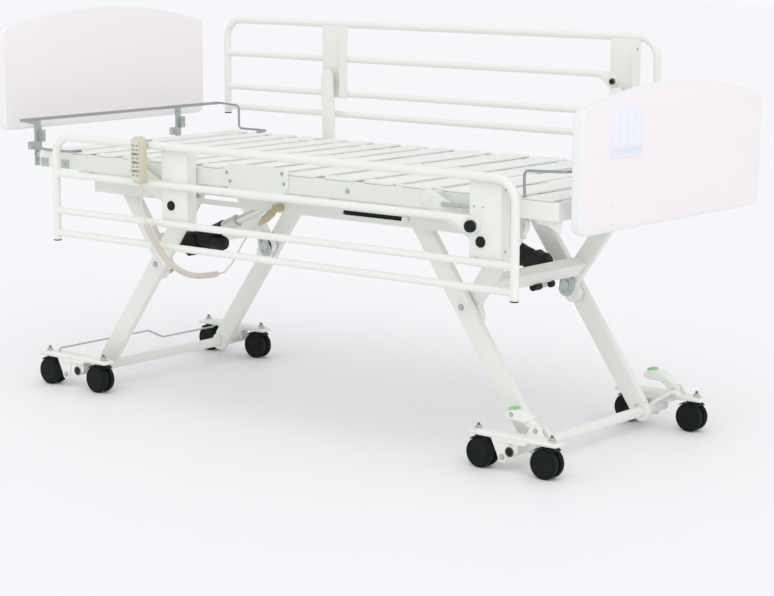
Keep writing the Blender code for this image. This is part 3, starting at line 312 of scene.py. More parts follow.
# Powder-coated steel: warm white polyester, baked to a satin film with a faint orange peel
POWDER = finish("powder_coated_steel", "#F1F3EC", 0.36, tone=0.012, tone_mm=260, grain_mm=2.4,
                depth_mm=0.02, rough_var=0.04, Coat_Weight=0.15, Coat_Roughness=0.12)
# Slats: the same coat on pressed sheet, a little flatter where the mattress rubs it
SLAT_COAT = finish("powder_coated_slats", "#F1F3EE", 0.44, tone=0.014, tone_mm=150, grain_mm=2.4,
                   depth_mm=0.03)
# Thermoformed foil on board: matt, pale and warm, with a faint grain along the panel
LAMINATE = finish("board_foil", "#FAF4F5", 0.52, tone=0.01, tone_mm=60, grain_mm=5, depth_mm=0.01,
                  stretch=(1, 0.12, 1), rough_var=0.03)
# Board edge: white foil turned round the rim
EDGE_BAND = finish("board_edge_foil", "#F4F4F5", 0.45, tone=0.006, depth_mm=0.01)
# Barrel-plated bright zinc: pale grey with a slight green cast, half glossy, with darker patches
ZINC = finish("zinc_plated_steel", "#C6CFCC", 0.36, metal=0.6, tone=0.12, tone_mm=14, grain_mm=0.8,
              depth_mm=0.02)
# Bare aluminium extrusion: pale satin grey, with draw lines along the tube
ALUMINIUM = finish("drawn_aluminium", "#D9DCD8", 0.38, metal=0.55, tone=0.04, tone_mm=40, grain_mm=1,
                   depth_mm=0.01, stretch=(0.1, 1, 1))
# Ground and polished steel rod: bright and nearly mirror-like, with a very fine grain
ROD_STEEL = finish("ground_rod", "#DCDFDC", 0.16, metal=1.0, tone=0.03, tone_mm=10, grain_mm=0.8,
                   depth_mm=0.005)
# Glass-filled nylon: near black with a green cast, spark-eroded texture
NYLON = finish("moulded_nylon", "#171D1C", 0.46, tone=0.08, tone_mm=30, grain_mm=0.9, depth_mm=0.06,
               Specular_IOR_Level=0.22)
# Moulded rubber tread: nearly black and matt, dulled in patches by the floor
TREAD = finish("wheel_tread", "#131818", 0.6, tone=0.1, tone_mm=16, grain_mm=0.8, depth_mm=0.05,
               Specular_IOR_Level=0.18)
# Moulded polypropylene of the pedal caps: light green, half matt
GREEN = finish("moulded_green", "#8FDB84", 0.42, tone=0.05, tone_mm=12, depth_mm=0.02)
# Moulded ABS of the handset: tan, half matt, fine mould texture
TAN = finish("moulded_abs", "#D9D4BC", 0.48, tone=0.035, tone_mm=18, grain_mm=0.8, depth_mm=0.03)
# Silicone rubber keys: grey-green, matt
KEY_FACE = finish("key_pad_rubber", "#B9B9A6", 0.55, tone=0.05, tone_mm=6, depth_mm=0.02)
# Painted shade in the gap round each key: a dark matt rim that stands in for the shade there
KEY_GAP_SHADE = finish("key_print", "#6F7466", 0.55, tone=0.05, tone_mm=4, depth_mm=0.01)
# Soft PVC jacket of the curly cord: pale cream, half matt
CORD = finish("cord_jacket", "#E4DCCD", 0.5, tone=0.03, tone_mm=10, grain_mm=1, depth_mm=0.02)
# Moulded PVC of the plug: a darker tan than the cord
PLUG = finish("moulded_plug", "#C9B893", 0.5, tone=0.05, tone_mm=8, depth_mm=0.02)
# Zinc-plated spring wire: mid grey, glossier than the plates
WIRE = finish("plated_wire", "#A9B0B3", 0.28, metal=0.75, tone=0.08, tone_mm=20, grain_mm=0.8,
              depth_mm=0.01)
# Polyester film of the keypad: smooth and faintly blue against the foil, its keys paler, its
# strip darker
PAD_FILM = finish("keypad_film", "#F2F5FC", 0.35, tone=0.01, tone_mm=40, depth_mm=0.005)
PAD_DOT = finish("keypad_keys", "#FBFCFF", 0.4, tone=0.005, depth_mm=0.005)
PAD_STRIP = finish("keypad_strip_film", "#E8EEFB", 0.35, tone=0.01, tone_mm=40, depth_mm=0.005)
# Moulded caps over the panels' bolts: matt white, a little darker than the foil
PLUG_WHITE = finish("bolt_cap", "#EFEAEC", 0.5, tone=0.01, depth_mm=0.005)
# Moulded ABS face of the handset: a paler cream than its shell
TAN_FACE = finish("moulded_face", "#E2DDCC", 0.5, tone=0.03, tone_mm=12, grain_mm=0.8, depth_mm=0.02)
# Bare brass, dulled by handling: brown-yellow, half glossy
BRASS = finish("brass_bush", "#857A5C", 0.34, metal=0.7, tone=0.1, tone_mm=6, depth_mm=0.01)
# Painted shade behind the foot end's slots: a thin black matt strip that stands in for the shade inside the
# slots
SLOT_SHADE_STRIP = finish("slot_painted_shade", "#1B2224", 0.7, tone=0.05, Specular_IOR_Level=0.2)


# Pieces

SHARP = math.radians(38)


def piece(name, shapes, mat, body, *replaces, slot=None):
    """One object from several shapes, in the frame of the solids, riding on a body. Its slot argument is
    not used."""
    points, faces, start = [], [], 0
    for p, f in shapes:
        points.append(p)
        faces += [[i + start for i in face] for face in f]
        start += len(p)
    points = np.concatenate(points) + (0.0, MIDDLE_Y, 0.0)
    mesh = bpy.data.meshes.new(name)
    mesh.from_pydata(points.tolist(), [], faces)
    mesh.validate()
    mesh.materials.append(mat)
    mesh.shade_smooth()
    mesh.set_sharp_from_angle(angle=SHARP)
    obj = bpy.data.objects.new(name, mesh)
    bpy.context.scene.collection.objects.link(obj)
    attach(obj, body)
    if replaces:
        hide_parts(*replaces)
    return obj


def dressed(node_name, mat, body):
    """A copy of a solid with its facets merged and its edges broken by a small round."""
    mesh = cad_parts[node_name].data.copy()
    mesh.materials.clear()
    mesh.materials.append(mat)
    obj = bpy.data.objects.new(node_name + "_coated", mesh)
    bpy.context.scene.collection.objects.link(obj)
    weld = obj.modifiers.new("weld", "WELD")
    weld.merge_threshold = 0.00005
    flat = obj.modifiers.new("flat", "DECIMATE")
    flat.decimate_type = "DISSOLVE"
    flat.angle_limit = math.radians(1)
    soft = obj.modifiers.new("edge", "BEVEL")
    soft.width, soft.segments, soft.angle_limit = 0.0015, 2, math.radians(35)
    soft.use_clamp_overlap = True
    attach(obj, body)
    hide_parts(node_name)


def side_span(s, a, b):
    """The range from a to b on one side of the bed's middle, lower end first."""
    return min(s * a, s * b), max(s * a, s * b)


# Handset cord
TAIL = [(-0.418, -0.5475, SET_Z0 - 0.0003), (-0.418, -0.5475, 0.7), (-0.415, -0.549, 0.674),
        (-0.406, -0.551, 0.642), (-0.3927, -0.552, 0.611)]
CURL = [(-0.3927, -0.552, 0.611), (-0.3814, -0.552, 0.59), (-0.3648, -0.552, 0.566),
        (-0.3463, -0.552, 0.544), (-0.3237, -0.552, 0.521), (-0.2992, -0.55, 0.5005),
        (-0.2771, -0.546, 0.485), (-0.2551, -0.538, 0.4725), (-0.2345, -0.528, 0.4645),
        (-0.2163, -0.516, 0.4612), (-0.1995, -0.502, 0.4612), (-0.184, -0.487, 0.4633),
        (-0.1665, -0.468, 0.4668)]
LEAD = [(-0.1665, -0.468, 0.4668), (-0.155, -0.456, 0.472), (-0.147, -0.448, 0.486),
        (-0.136, -0.438, 0.504), (-0.129, -0.424, 0.53), (-0.125, -0.408, 0.556), (-0.121, -0.388, 0.578),
        (-0.112, -0.374, 0.5965), (-0.1048, -0.3682, 0.6042), (-0.096, -0.366, 0.612)]


def smooth_path(points, per=12):
    """A dense path through the points, as a chain of cubic pieces with matched directions."""
    p = np.asarray(points, float)
    p = np.concatenate([2 * p[:1] - p[1:2], p, 2 * p[-1:] - p[-2:-1]])
    t = (np.arange(per) / per)[None, :, None]
    a, b, c, d = (p[i:len(p) - 3 + i][:, None] for i in range(4))
    out = 0.5 * (2 * b + (c - a) * t + (2 * a - 5 * b + 4 * c - d) * t ** 2
                 + (3 * b - a - 3 * c + d) * t ** 3)
    return np.concatenate([out.reshape(-1, 3), p[-2:-1]])


def even(path, count):
    """The path again with count equal steps, and its length."""
    s = np.concatenate([[0], np.cumsum(np.linalg.norm(np.diff(path, axis=0), axis=1))])
    want = np.linspace(0, s[-1], count + 1)
    return np.column_stack([np.interp(want, s, path[:, k]) for k in range(3)]), s[-1]


def handset_cord():
    """The straight tail, the curls and the lead as one tube. The curls are a circle of COIL_R
    carried along the hanging line, one turn for each COIL_PITCH, eased in and out over one turn."""
    line = smooth_path(CURL, 24)
    turns = round(even(line, 10)[1] / COIL_PITCH)
    per = 20
    axis, _ = even(line, turns * per)
    t = unit(np.gradient(axis, axis=0))
    side = unit(np.cross(t, (0.0, 1.0, 0.12)))
    up = np.cross(side, t)
    i = np.arange(len(axis))
    ease = np.clip(np.minimum(i, len(axis) - 1 - i) / per, 0, 1)[:, None]
    a = 2 * math.pi * i[:, None] / per
    curls = axis + (up * np.cos(a) + side * np.sin(a)) * COIL_R * ease
    tail, _ = even(smooth_path(TAIL), 24)
    lead, _ = even(smooth_path(LEAD), 36)
    return np.concatenate([tail, curls[1:], lead[1:]])


def turning_tube(path, r, n):
    """A tube whose section keeps its turn from point to point, for a path that curls."""
    t = unit(np.gradient(path, axis=0))
    side = np.zeros_like(t)
    v = unit(np.cross(t[0], (0.3, 1.0, 0.2)))
    for i in range(len(t)):
        v = v - t[i] * (v @ t[i])
        v /= np.linalg.norm(v)
        side[i] = v
    return swept(path, r, side, np.cross(t, side), n)


cord_path = handset_cord()
cord = piece("handset_cord_jacket", [turning_tube(cord_path, CORD_R, 10)], CORD, "frame", "handset_cord")

plug_a = np.array(LEAD[-1])
toward = unit(plug_a - np.array(LEAD[-2]))
PLUG_LEN = 0.086
plug_b = plug_a + toward * PLUG_LEN
ribs = [(0.0042 + 0.0009 * k + (0.0007 if i % 2 else 0), 0.0003 + 0.003 * k + 0.0015 * (i % 2))
        for k in range(8) for i in range(2)]
plug = piece("cord_plug_shell", [
    turned(ribs + [(0.0122, 0.026), (0.0125, 0.029), (0.0125, 0.06), (0.0118, 0.064), (0.0095, 0.066),
                   (0.0095, 0.082), (0.008, 0.083)], plug_a, toward),
    turned([(0.0131, 0.034), (0.0131, 0.0385), (0.012, 0.039)], plug_a, toward),
    block(plug_b[0] - 0.014, plug_b[0] + 0.014, -TRACK_Y - 0.022, -TRACK_Y - 0.0004, plug_b[2] - 0.009,
          plug_b[2] + 0.009, 0.002)],
    PLUG, "frame", "cord_plug")


# Side rails
PLATE_IN = RAIL_Y - RAIL_R - 0.0035
PLATE_FACE = PLATE_IN + PLATE_T
PADDLE_FACE = PLATE_FACE - 0.001 + PADDLE_T
# How far a bar's radius swells at each distance from the tube that it is welded to
WELD_AT = np.array([0, 0.008, 0.0115, 0.014, 0.018, 0.023])
WELD_SWELL = np.array([0.0022, 0.0022, 0.0022, 0.0014, 0.0005, 0])


def paddle(s, knob_x, knob_z, bar_z):
    """The upper bar's end, where it swells into a flat paddle: six sections, each with
    |u / half|^2.5 + |v / thick|^2.5 = 1, that widen and flatten on the way to the knob."""
    half = np.array([0.0115, 0.0125, 0.016, 0.02, 0.0225, 0.0235])[:, None]
    thick = np.array([0.0108, 0.0106, 0.0098, 0.0088, 0.0078, 0.0072])[:, None]
    start = np.array([knob_x - PADDLE_L - 0.012, bar_z])
    mids = start + np.linspace(0, 1, 6)[:, None] * (np.array([knob_x - 0.012, knob_z + 0.004]) - start)
    mid_y = s * np.linspace(RAIL_Y, PLATE_FACE + PADDLE_T / 2, 6)[:, None]
    a = np.linspace(0, 2 * math.pi, 24, endpoint=False)
    u, v = (np.sign(w) * np.abs(w) ** 0.8 for w in (np.cos(a), np.sin(a)))
    x = np.broadcast_to(mids[:, :1], (6, 24))
    return skin(np.stack([x, mid_y + thick * v * s, mids[:, 1:] + half * u], -1)[:, ::-s])


def side_rail(s, side):
    """One rail on its two swing arms: hoop, bars, paddle, plates, caps, latch and knob."""
    sx, sz = SWING_R * math.cos(SWING_ANGLE[s]), SWING_R * math.sin(SWING_ANGLE[s])
    x0, z0 = SWING_X[0] + sx - RAIL_PIVOTS[0], SWING_Z + sz - RAIL_PIVOT_Z
    y, body, out = s * RAIL_Y, "rail_" + side, (0, s, 0)
    knob_x, knob_z = x0 + KNOB_AT[0], z0 + KNOB_AT[1]
    hoop = [(x0, y, z0), (x0, y, z0 + RAIL_H), (x0 + RAIL_L, y, z0 + RAIL_H), (x0 + RAIL_L, y, z0)]
    shapes = [tube(rounded(hoop, RAIL_BEND, 14), RAIL_R, 28)]
    for i, h in enumerate(RAIL_BARS):
        end_x = x0 + (RAIL_L if i else KNOB_AT[0] - PADDLE_L - 0.01)
        xs = np.concatenate([x0 + WELD_AT, end_x - WELD_AT[::-1]])
        r = BAR_R + np.concatenate([WELD_SWELL, (WELD_SWELL if i else 0 * WELD_SWELL)[::-1]])
        shapes.append(tube([(x, y, z0 + h) for x in xs], r, 20))
    shapes.append(paddle(s, knob_x, knob_z, z0 + RAIL_BARS[0]))
    shapes.append(slab(capsule((knob_x - 0.014, knob_z + 0.004), (knob_x + 0.001, knob_z), PADDLE_R),
                       *side_span(s, PLATE_FACE - 0.001, PADDLE_FACE), 0.003))
    for px, hx in zip(RAIL_PLATES, RAIL_PIVOTS):
        pa, pb = x0 + px - PLATE_W / 2, x0 + px + PLATE_W / 2
        shapes += [plate(corners(pa, pb, z0 + PLATE_Z, z0 + RAIL_H - 0.006), [0.006, 0.003, 0.002, 0.002],
                         *side_span(s, PLATE_IN, PLATE_FACE), 0.0012, steps=4),
                   block(pb - 0.0042, pb - 0.0002, *side_span(s, PLATE_IN - 0.034, PLATE_IN + 0.003),
                         z0 + PLATE_Z + 0.001, z0 + RAIL_H - 0.018, 0.001),
                   turned([(0.02, 0), (0.02, 0.0006), (0.0185, 0.0012), (0.004, 0.0012)],
                          (x0 + hx, s * (PLATE_FACE - 0.0002), z0 + RAIL_PIVOT_Z), out),
                   rod(0.0078, -0.016, 0.004, (x0 + hx, s * PLATE_IN, z0 + RAIL_PIVOT_Z), out)]
    piece("rail_hoop_" + side, shapes, POWDER, body, body)
    caps = []
    for hx, r in zip(RAIL_PIVOTS, (0.0148, 0.0158)):
        dome = [(r * 0.98, -0.001), (r, 0.001), (r, 0.0035), (r * 0.93, 0.0055), (r * 0.78, 0.007),
                (r * 0.2, 0.0078)]
        caps.append(turned(dome, (x0 + hx, s * (PLATE_FACE + 0.001), z0 + RAIL_PIVOT_Z), out))
    for x in (x0, x0 + RAIL_L):
        caps.append(turned([(0.01, 0.01), (0.0128, 0.0002), (0.0128, -0.0018), (0.0105, -0.003),
                            (0.003, -0.0032)], (x, y, z0), UP, 28))
    piece("rail_caps_" + side, caps, NYLON, body)
    # Small screws of the foot-end plate, and on the near rail the latch rod beside it
    edge_x = x0 + RAIL_PLATES[1] - PLATE_W / 2
    zinc = []
    if s < 0:
        latch = [(0.003, 0), (0.0058, 0.001), (0.0062, 0.004), (0.0062, 0.08), (0.0045, 0.082),
                 (0.0045, 0.106)]
        zinc.append(turned(latch, (edge_x - 0.105, s * (PLATE_IN - 0.0045), z0 + 0.241), ALONG, 24))
    for dx, dz in ((0.015, 0.246), (0.046, 0.246), (0.028, 0.104)):
        zinc += bolt((edge_x + dx, s * PLATE_FACE, z0 + dz), out, 0.0032, 0.0015)
    for dz in (0.296, 0.127):
        zinc += bolt((edge_x + PLATE_W - 0.0004, s * (PLATE_IN - 0.014), z0 + dz), ALONG, 0.0042, 0.003)
    piece("rail_latch_rod_" + side, zinc, ZINC, body)
    behind, inward = (knob_x, s * PLATE_IN, knob_z), (0, -s, 0)
    boss = [(0.0105, 0), (0.018, 0), (0.018, 0.004), (0.016, 0.006), (0.0105, 0.006)]
    bush = [(0.0066, 0), (0.01, 0), (0.01, 0.011), (0.0066, 0.011)]
    piece("rail_latch_boss_" + side, [ring_turned(boss, behind, inward, 36)], POWDER, body)
    piece("rail_latch_bush_" + side, [ring_turned(bush, behind, inward, 28)], BRASS, body)
    grip = [(0.006, -0.028), (0.006, 0.0006), (KNOB_R * 0.9, 0.0006), (KNOB_R, 0.0025), (KNOB_R, 0.0125),
            (KNOB_R * 0.94, 0.015), (KNOB_R * 0.8, 0.0168), (KNOB_R * 0.5, 0.0176), (KNOB_R * 0.1, 0.0178)]
    piece("rail_knob_grip_" + side, [turned(grip, (knob_x, s * PADDLE_FACE, knob_z), out, 36)], NYLON,
          "knob_" + side, "knob_" + side)
    for px, place in zip(SWING_X, ("left", "right")):
        arm = slab(capsule((px, SWING_Z), (px + sx, SWING_Z + sz), SWING_ARM_R),
                   *side_span(s, SWING_ARM_Y - 0.005, SWING_ARM_Y + 0.005), 0.0018)
        swing = "swing_%s_%s" % (side, place)
        piece("swing_arm_%s_%s" % (side, place), [arm], POWDER, swing, swing)


for s, side in SIDES:
    side_rail(s, side)

# End panels

def panel_outline(z0, d=0.0):
    """Rounded rectangle with an arched top, moved inwards by d: the arch is a circle through both
    shoulders and PANEL_RISE above them."""
    half, r, top = PANEL_W / 2 - d, PANEL_CORNER - d * 0.5, z0 + PANEL_H
    chord = half - r
    big = (chord ** 2 + PANEL_RISE ** 2) / (2 * PANEL_RISE)
    tilt = math.asin(chord / big)
    lo = z0 + d
    low = top - d - r + r * math.cos(tilt)
    t = np.linspace(tilt, -tilt, 61)[1:-1]
    edge = (chord + r * math.sin(tilt)) / math.sin(tilt)
    arch = np.column_stack([edge * np.sin(t), low + edge * (np.cos(t) - math.cos(tilt))])
    up, quarter = top - d - r, math.pi / 2
    return np.concatenate([
        circle((-half + r, lo + r), r, np.linspace(math.pi, 3 * quarter, 9)),
        circle((half - r, lo + r), r, np.linspace(3 * quarter, 4 * quarter, 9)),
        circle((half - r, up), r, np.linspace(0, quarter - tilt, 7)), arch,
        circle((-half + r, up), r, np.linspace(quarter + tilt, math.pi, 7))])


for e, label in ENDS:
    z0 = FOOT_PANEL_Z + (HEAD_PANEL_UP if e < 0 else 0.0)
    out, inn = e * HALF_LEN, e * PANEL_IN
    piece("panel_board_" + label, [slab(panel_outline(z0), inn, out, 0.007, "x", 5)], EDGE_BAND, "frame",
          "panel_" + label)
    faces = [slab(panel_outline(z0, 0.0095), out - e * 0.001, out + e * 0.0006, 0.0005, "x"),
             slab(panel_outline(z0, 0.0095), inn + e * 0.001, inn - e * 0.0002, 0.0005, "x")]
    piece("panel_foil_" + label, faces, LAMINATE, "frame")

# Deck

def deck_width(x0, x1, count):
    """Width of one slat where count of them share a section."""
    return (x1 - x0 - (count - 1) * SLAT_SPACE) / count


def strap(p, q, r, y0, y1, hole_p=0.0, hole_q=0.0, edge=0.004):
    """A flat bar from p to q in X and Z: straight sides, and at each end a half-round, or a ring
    with a round bore where a hole is given."""
    p, q = np.asarray(p, float), np.asarray(q, float)
    t = unit(q - p)
    side = np.array([-t[1], t[0]])
    arc = np.linspace(math.pi / 2, 3 * math.pi / 2, 11)
    shapes, outline = [], []
    for centre, way, hole in ((p, 1, hole_p), (q, -1, hole_q)):
        if hole:
            cut = centre + way * t * (hole + 0.0012)
            outline += [cut + way * side * r, cut - way * side * r]
            e = min(edge, (r - hole) * 0.45)
            ring = [(hole, y0), (r - e, y0), (r - e * 0.3, y0 + e * 0.3), (r, y0 + e),
                    (r, y1 - e), (r - e * 0.3, y1 - e * 0.3), (r - e, y1), (hole, y1)]
            shapes.append(ring_turned(ring, (centre[0], 0, centre[1]), ACROSS))
        else:
            outline += [centre + r * (np.cos(a) * t * way + np.sin(a) * side * way) for a in arc]
    shapes.append(slab(np.array(outline), y0, y1, edge))
    return shapes


ROOM = 0.0005  # between a pin and its bore
SLAT_Z0 = SLAT_TOP - SLAT_T
# Middle and width of the deck's bars: the seat and foot sections' outer ones, the others' inner ones
OUTER_BAR, INNER_BAR = (0.4075, 0.025), (0.3795, 0.02)
DECK_PIN_IN, SLOT_PIN_END, BASE_TUBE_END = 0.3665, 0.347, 0.406
BAR_LOW, LUG_R, DECK_PIN_R, PIN_R, LEG_PIN_R = 0.0155, 0.0155, 0.007, 0.008, 0.01
BACK_W = deck_width(-DECK_END[-1], BACK_X - HINGE_TO_SLAT, 7)
FOOT_W = deck_width(KNEE_X + HINGE_TO_SLAT, DECK_END[1], 5)


def deck(name, body, x0, x1, count, bar, lugs, pins):
    """Slats and their rivets on two bars, with hinge eyes, pins and the pins' black caps."""
    shapes, caps = [], []
    bar_y, bar_w = bar
    width = deck_width(x0, x1, count)
    for i in range(count):
        a = x0 + i * (width + SLAT_SPACE)
        shapes.append(block(a, a + width, -SLAT_HALF, SLAT_HALF, SLAT_Z0, SLAT_TOP, 0.0022, 0.007))
        for s, _ in SIDES:
            for dx in (0.25, 0.75):
                shapes.append(turned([(0.0055, 0), (0.0052, 0.0006), (0.003, 0.001), (0.0005, 0.0011)],
                                     (a + width * dx, s * bar_y, SLAT_TOP - 0.0002), UP, 16))
    bar_x = max(x0 + 0.002, 0.03 - FRAME_END[-1]), min(x1 - 0.002, FRAME_END[1] - 0.03)
    for s, _ in SIDES:
        y0, y1 = side_span(s, bar_y - bar_w / 2, bar_y + bar_w / 2)
        shapes.append(block(*bar_x, y0, y1, HINGE_Z - BAR_LOW, SLAT_Z0 + 0.002, 0.003))
        for hinge in lugs + pins:
            inward = 0.05 if hinge < (x0 + x1) / 2 else -0.05
            hole = DECK_PIN_R + ROOM if hinge in lugs else 0.0
            shapes += strap((hinge, HINGE_Z), (hinge + inward, HINGE_Z), LUG_R - 0.0002, y0 + 0.0003,
                            y1 - 0.0003, hole, 0.0, 0.002)
        for hinge in pins:
            a, b = side_span(s, DECK_PIN_IN, bar_y)
            shapes.append(rod(DECK_PIN_R, a, b, (hinge, 0, HINGE_Z), ACROSS))
            caps.append(turned([(0.0085, 0), (0.0088, 0.002), (0.007, 0.0036), (0.001, 0.004)],
                               (hinge, s * (bar_y + bar_w / 2 - 0.0005), HINGE_Z), (0, s, 0), 20))
    piece(name + "_slats", shapes, SLAT_COAT, body, name)
    if caps:
        piece(name + "_pin_caps", caps, NYLON, body)


deck("deck_seat", "frame", BACK_X + HINGE_TO_SLAT, THIGH_X - HINGE_TO_SLAT, 2, OUTER_BAR, (),
     (BACK_X, THIGH_X))
deck("deck_back", "back_section", -DECK_END[-1], BACK_X - HINGE_TO_SLAT, 7, INNER_BAR, (BACK_X,), ())
deck("deck_thigh", "thigh_section", THIGH_X + HINGE_TO_SLAT, KNEE_X - HINGE_TO_SLAT, 2, INNER_BAR,
     (THIGH_X, KNEE_X), ())
deck("deck_foot", "foot_section", KNEE_X + HINGE_TO_SLAT, DECK_END[1], 5, OUTER_BAR, (), (KNEE_X,))

# Retainer wires: plated rod bent up from the deck and across behind the mattress, and at the head
# end a second, lower bar close to the first
WIRE_R, WIRE_BEND = 0.004, 0.014
for e, label in ENDS:
    top = SLAT_TOP + (0.09 if e < 0 else 0.078)
    foot_x = DECK_END[-1] - BACK_W - SLAT_SPACE - 0.025 if e < 0 else DECK_END[1] - FOOT_W + 0.0045
    cross_x = DECK_END[e] + (0.096 if e < 0 else 0.041)
    if e < 0:
        y, foot_y, drop_x, low = SLAT_HALF + 0.026, SLAT_HALF - 0.02, DECK_END[e] - 0.006, SLAT_TOP + 0.0043
        shape = [(foot_x, foot_y, low), (foot_x, y, low), (drop_x, y, low), (drop_x, y, top - 0.006),
                 (cross_x, y, top)]
    else:
        y, foot_y, drop_x = SLAT_HALF - 0.006, SLAT_HALF - 0.006, foot_x - 0.0015
        shape = [(foot_x, y, SLAT_TOP + 0.0003), (foot_x, y, SLAT_TOP + 0.014),
                 (drop_x, y, SLAT_TOP + 0.03), (drop_x, y, top - 0.006), (cross_x, y, top)]
    path = [(e * x, -w, z) for x, w, z in shape] + [(e * x, w, z) for x, w, z in reversed(shape)]
    wires = [turning_tube(rounded(path, WIRE_BEND, 6), WIRE_R, 14)]
    if e < 0:
        x, z = e * (cross_x - 0.016), top - 0.006 * 0.016 / (cross_x - drop_x)
        wires.append(tube([(x, -y, z), (x, 0, z), (x, y, z)], 0.0036, 14, UP))
    for s, _ in SIDES:
        wires += bolt((e * foot_x, s * foot_y, SLAT_TOP + 0.0002), UP, 0.0052, 0.006, 0.0085)
    piece("retainer_wire_" + label, wires, WIRE, "back_section" if e < 0 else "foot_section",
          "retainer_" + label)

# Panel brackets: zinc straps with their feet on the end rails. Each has its middle, half width,
# reach below the side rail's underside, lap over the panel, and heads up from the panel's edge
BRACKET = {-1: (0.333, 0.013, 0.016, 0.03, (-0.107, 0.016)),
           1: (0.32, 0.016, 0.03, 0.075, (0.022, 0.03, 0.06))}
# Clamp tabs, each from and to inwards of the panel's face, across from the strap's middle and up from
# the side rail's underside, and their bolts, placed alike, with radius and height
TABS = {-1: ((0.0045, 0.02, -0.046, -0.011, 0.04, 0.066), (0.0045, 0.014, 0.003, 0.025, 0.062, 0.102),
             (0.054, 0.082, -0.034, -0.006, -0.006, 0.016)),
        1: ((0.0045, 0.0215, -0.03, -0.011, 0.004, 0.038), (0.0045, 0.0195, 0.008, 0.026, 0.018, 0.058))}
TAB_BOLTS = {-1: ((0.02, -0.034, 0.053, 0.005, 0.004), (0.014, 0.014, 0.09, 0.0045, 0.003)),
             1: ((0.0195, 0.017, 0.038, 0.0055, 0.004),)}
for e, label in ENDS:
    z0 = FOOT_PANEL_Z + (HEAD_PANEL_UP if e < 0 else 0.0)
    middle, wide, low, lap, heads = BRACKET[e]
    inward = (-e, 0, 0)
    for s, side in SIDES:
        y = s * middle
        shapes = [block(*side_span(e, PANEL_IN - 0.0043, PANEL_IN - 0.0003), y - wide, y + wide,
                        SIDE_LOW - low, z0 + lap, 0.0012),
                  block(*side_span(e, FRAME_END[e] - 0.0007, PANEL_IN - 0.003), y - wide + 0.003,
                        y + wide - 0.003, SIDE_LOW + 0.012, SIDE_LOW + 0.03, 0.0015)]
        for near, deep, y0, y1, z_low, z_high in TABS[e]:
            shapes.append(block(*side_span(e, PANEL_IN - deep, PANEL_IN - near), y + y0, y + y1,
                                SIDE_LOW + z_low, SIDE_LOW + z_high, 0.002))
        for deep, dy, dz, r, h in TAB_BOLTS[e]:
            shapes += bolt((e * (PANEL_IN - deep), y + dy, SIDE_LOW + dz), inward, r, h)
        for dz in heads:
            shapes += bolt((e * (PANEL_IN - 0.0042), y, z0 + dz), inward, 0.0065, 0.005)
        piece("panel_strap_%s_%s" % (label, side), shapes, ZINC, "frame", "bracket_%s_%s" % (label, side))

# Zinc hook plates on the side rails' head ends, pressed corner pieces under their foot ends
for s, side in SIDES:
    plates = []
    for x in (0.007 - FRAME_END[-1], 0.103 - FRAME_END[-1]):
        plates.append(block(x, x + 0.034, *side_span(s, SIDE_FACE + 0.0003, SIDE_FACE + 0.0028),
                            SIDE_LOW + 0.004, SIDE_TOP - 0.02, 0.0012))
        plates += bolt((x + 0.017, s * (SIDE_FACE + 0.0026), SIDE_LOW + 0.017), (0, s, 0), 0.0045, 0.003)
    piece("side_rail_hooks_" + side, plates, ZINC, "frame")
    corner = [(FRAME_END[1] - dx, SIDE_LOW - dz) for dx, dz in (
        (0.085, 0.0005), (0.002, 0.0005), (0.002, 0.034), (0.012, 0.034), (0.04, 0.018), (0.085, 0.012))]
    piece("side_rail_corner_" + side,
          [plate(corner, 0.003, *side_span(s, SIDE_Y - 0.006, SIDE_Y - 0.002), 0.0012)], POWDER, "frame")

# Keypad on the foot panel: film with rows of small round keys and a bare strip
PAD_Y, PAD_Z, PAD_X = (-0.339, -0.18), (0.901, 1.032), HALF_LEN + 0.003
piece("keypad_film", [plate(corners(*PAD_Y, *PAD_Z), 0.005, HALF_LEN + 0.0003, PAD_X, 0.0008, "x", 5)],
      PAD_FILM, "frame", "control_pad")
dot = [(0.0052, -0.0004), (0.0052, 0.0002), (0.004, 0.0006), (0.0005, 0.0007)]
keys = [turned(dot, (PAD_X, y, z), ALONG, 18) for y in np.linspace(PAD_Y[0] + 0.026, PAD_Y[1] - 0.026, 4)
        for z in np.linspace(PAD_Z[0] + 0.04, PAD_Z[1] - 0.014, 6)]
piece("keypad_keys", keys, PAD_DOT, "frame")
strip = corners(PAD_Y[0] + 0.006, PAD_Y[1] - 0.006, PAD_Z[0] + 0.007, PAD_Z[0] + 0.025)
piece("keypad_strip", [plate(strip, 0.003, PAD_X - 0.0004, PAD_X + 0.0003, 0.0002, "x", 4)], PAD_STRIP,
      "frame")
cap = [(0.005, -0.0004), (0.005, 0.0004), (0.0042, 0.0009), (0.0005, 0.001)]
plugs = [turned(cap, (HALF_LEN + 0.0005, y, FOOT_PANEL_Z + dz), ALONG, 18) for y in (-0.323, 0.3)
         for dz in (0.07, 0.022)]
piece("panel_bolt_caps", plugs, PLUG_WHITE, "frame")

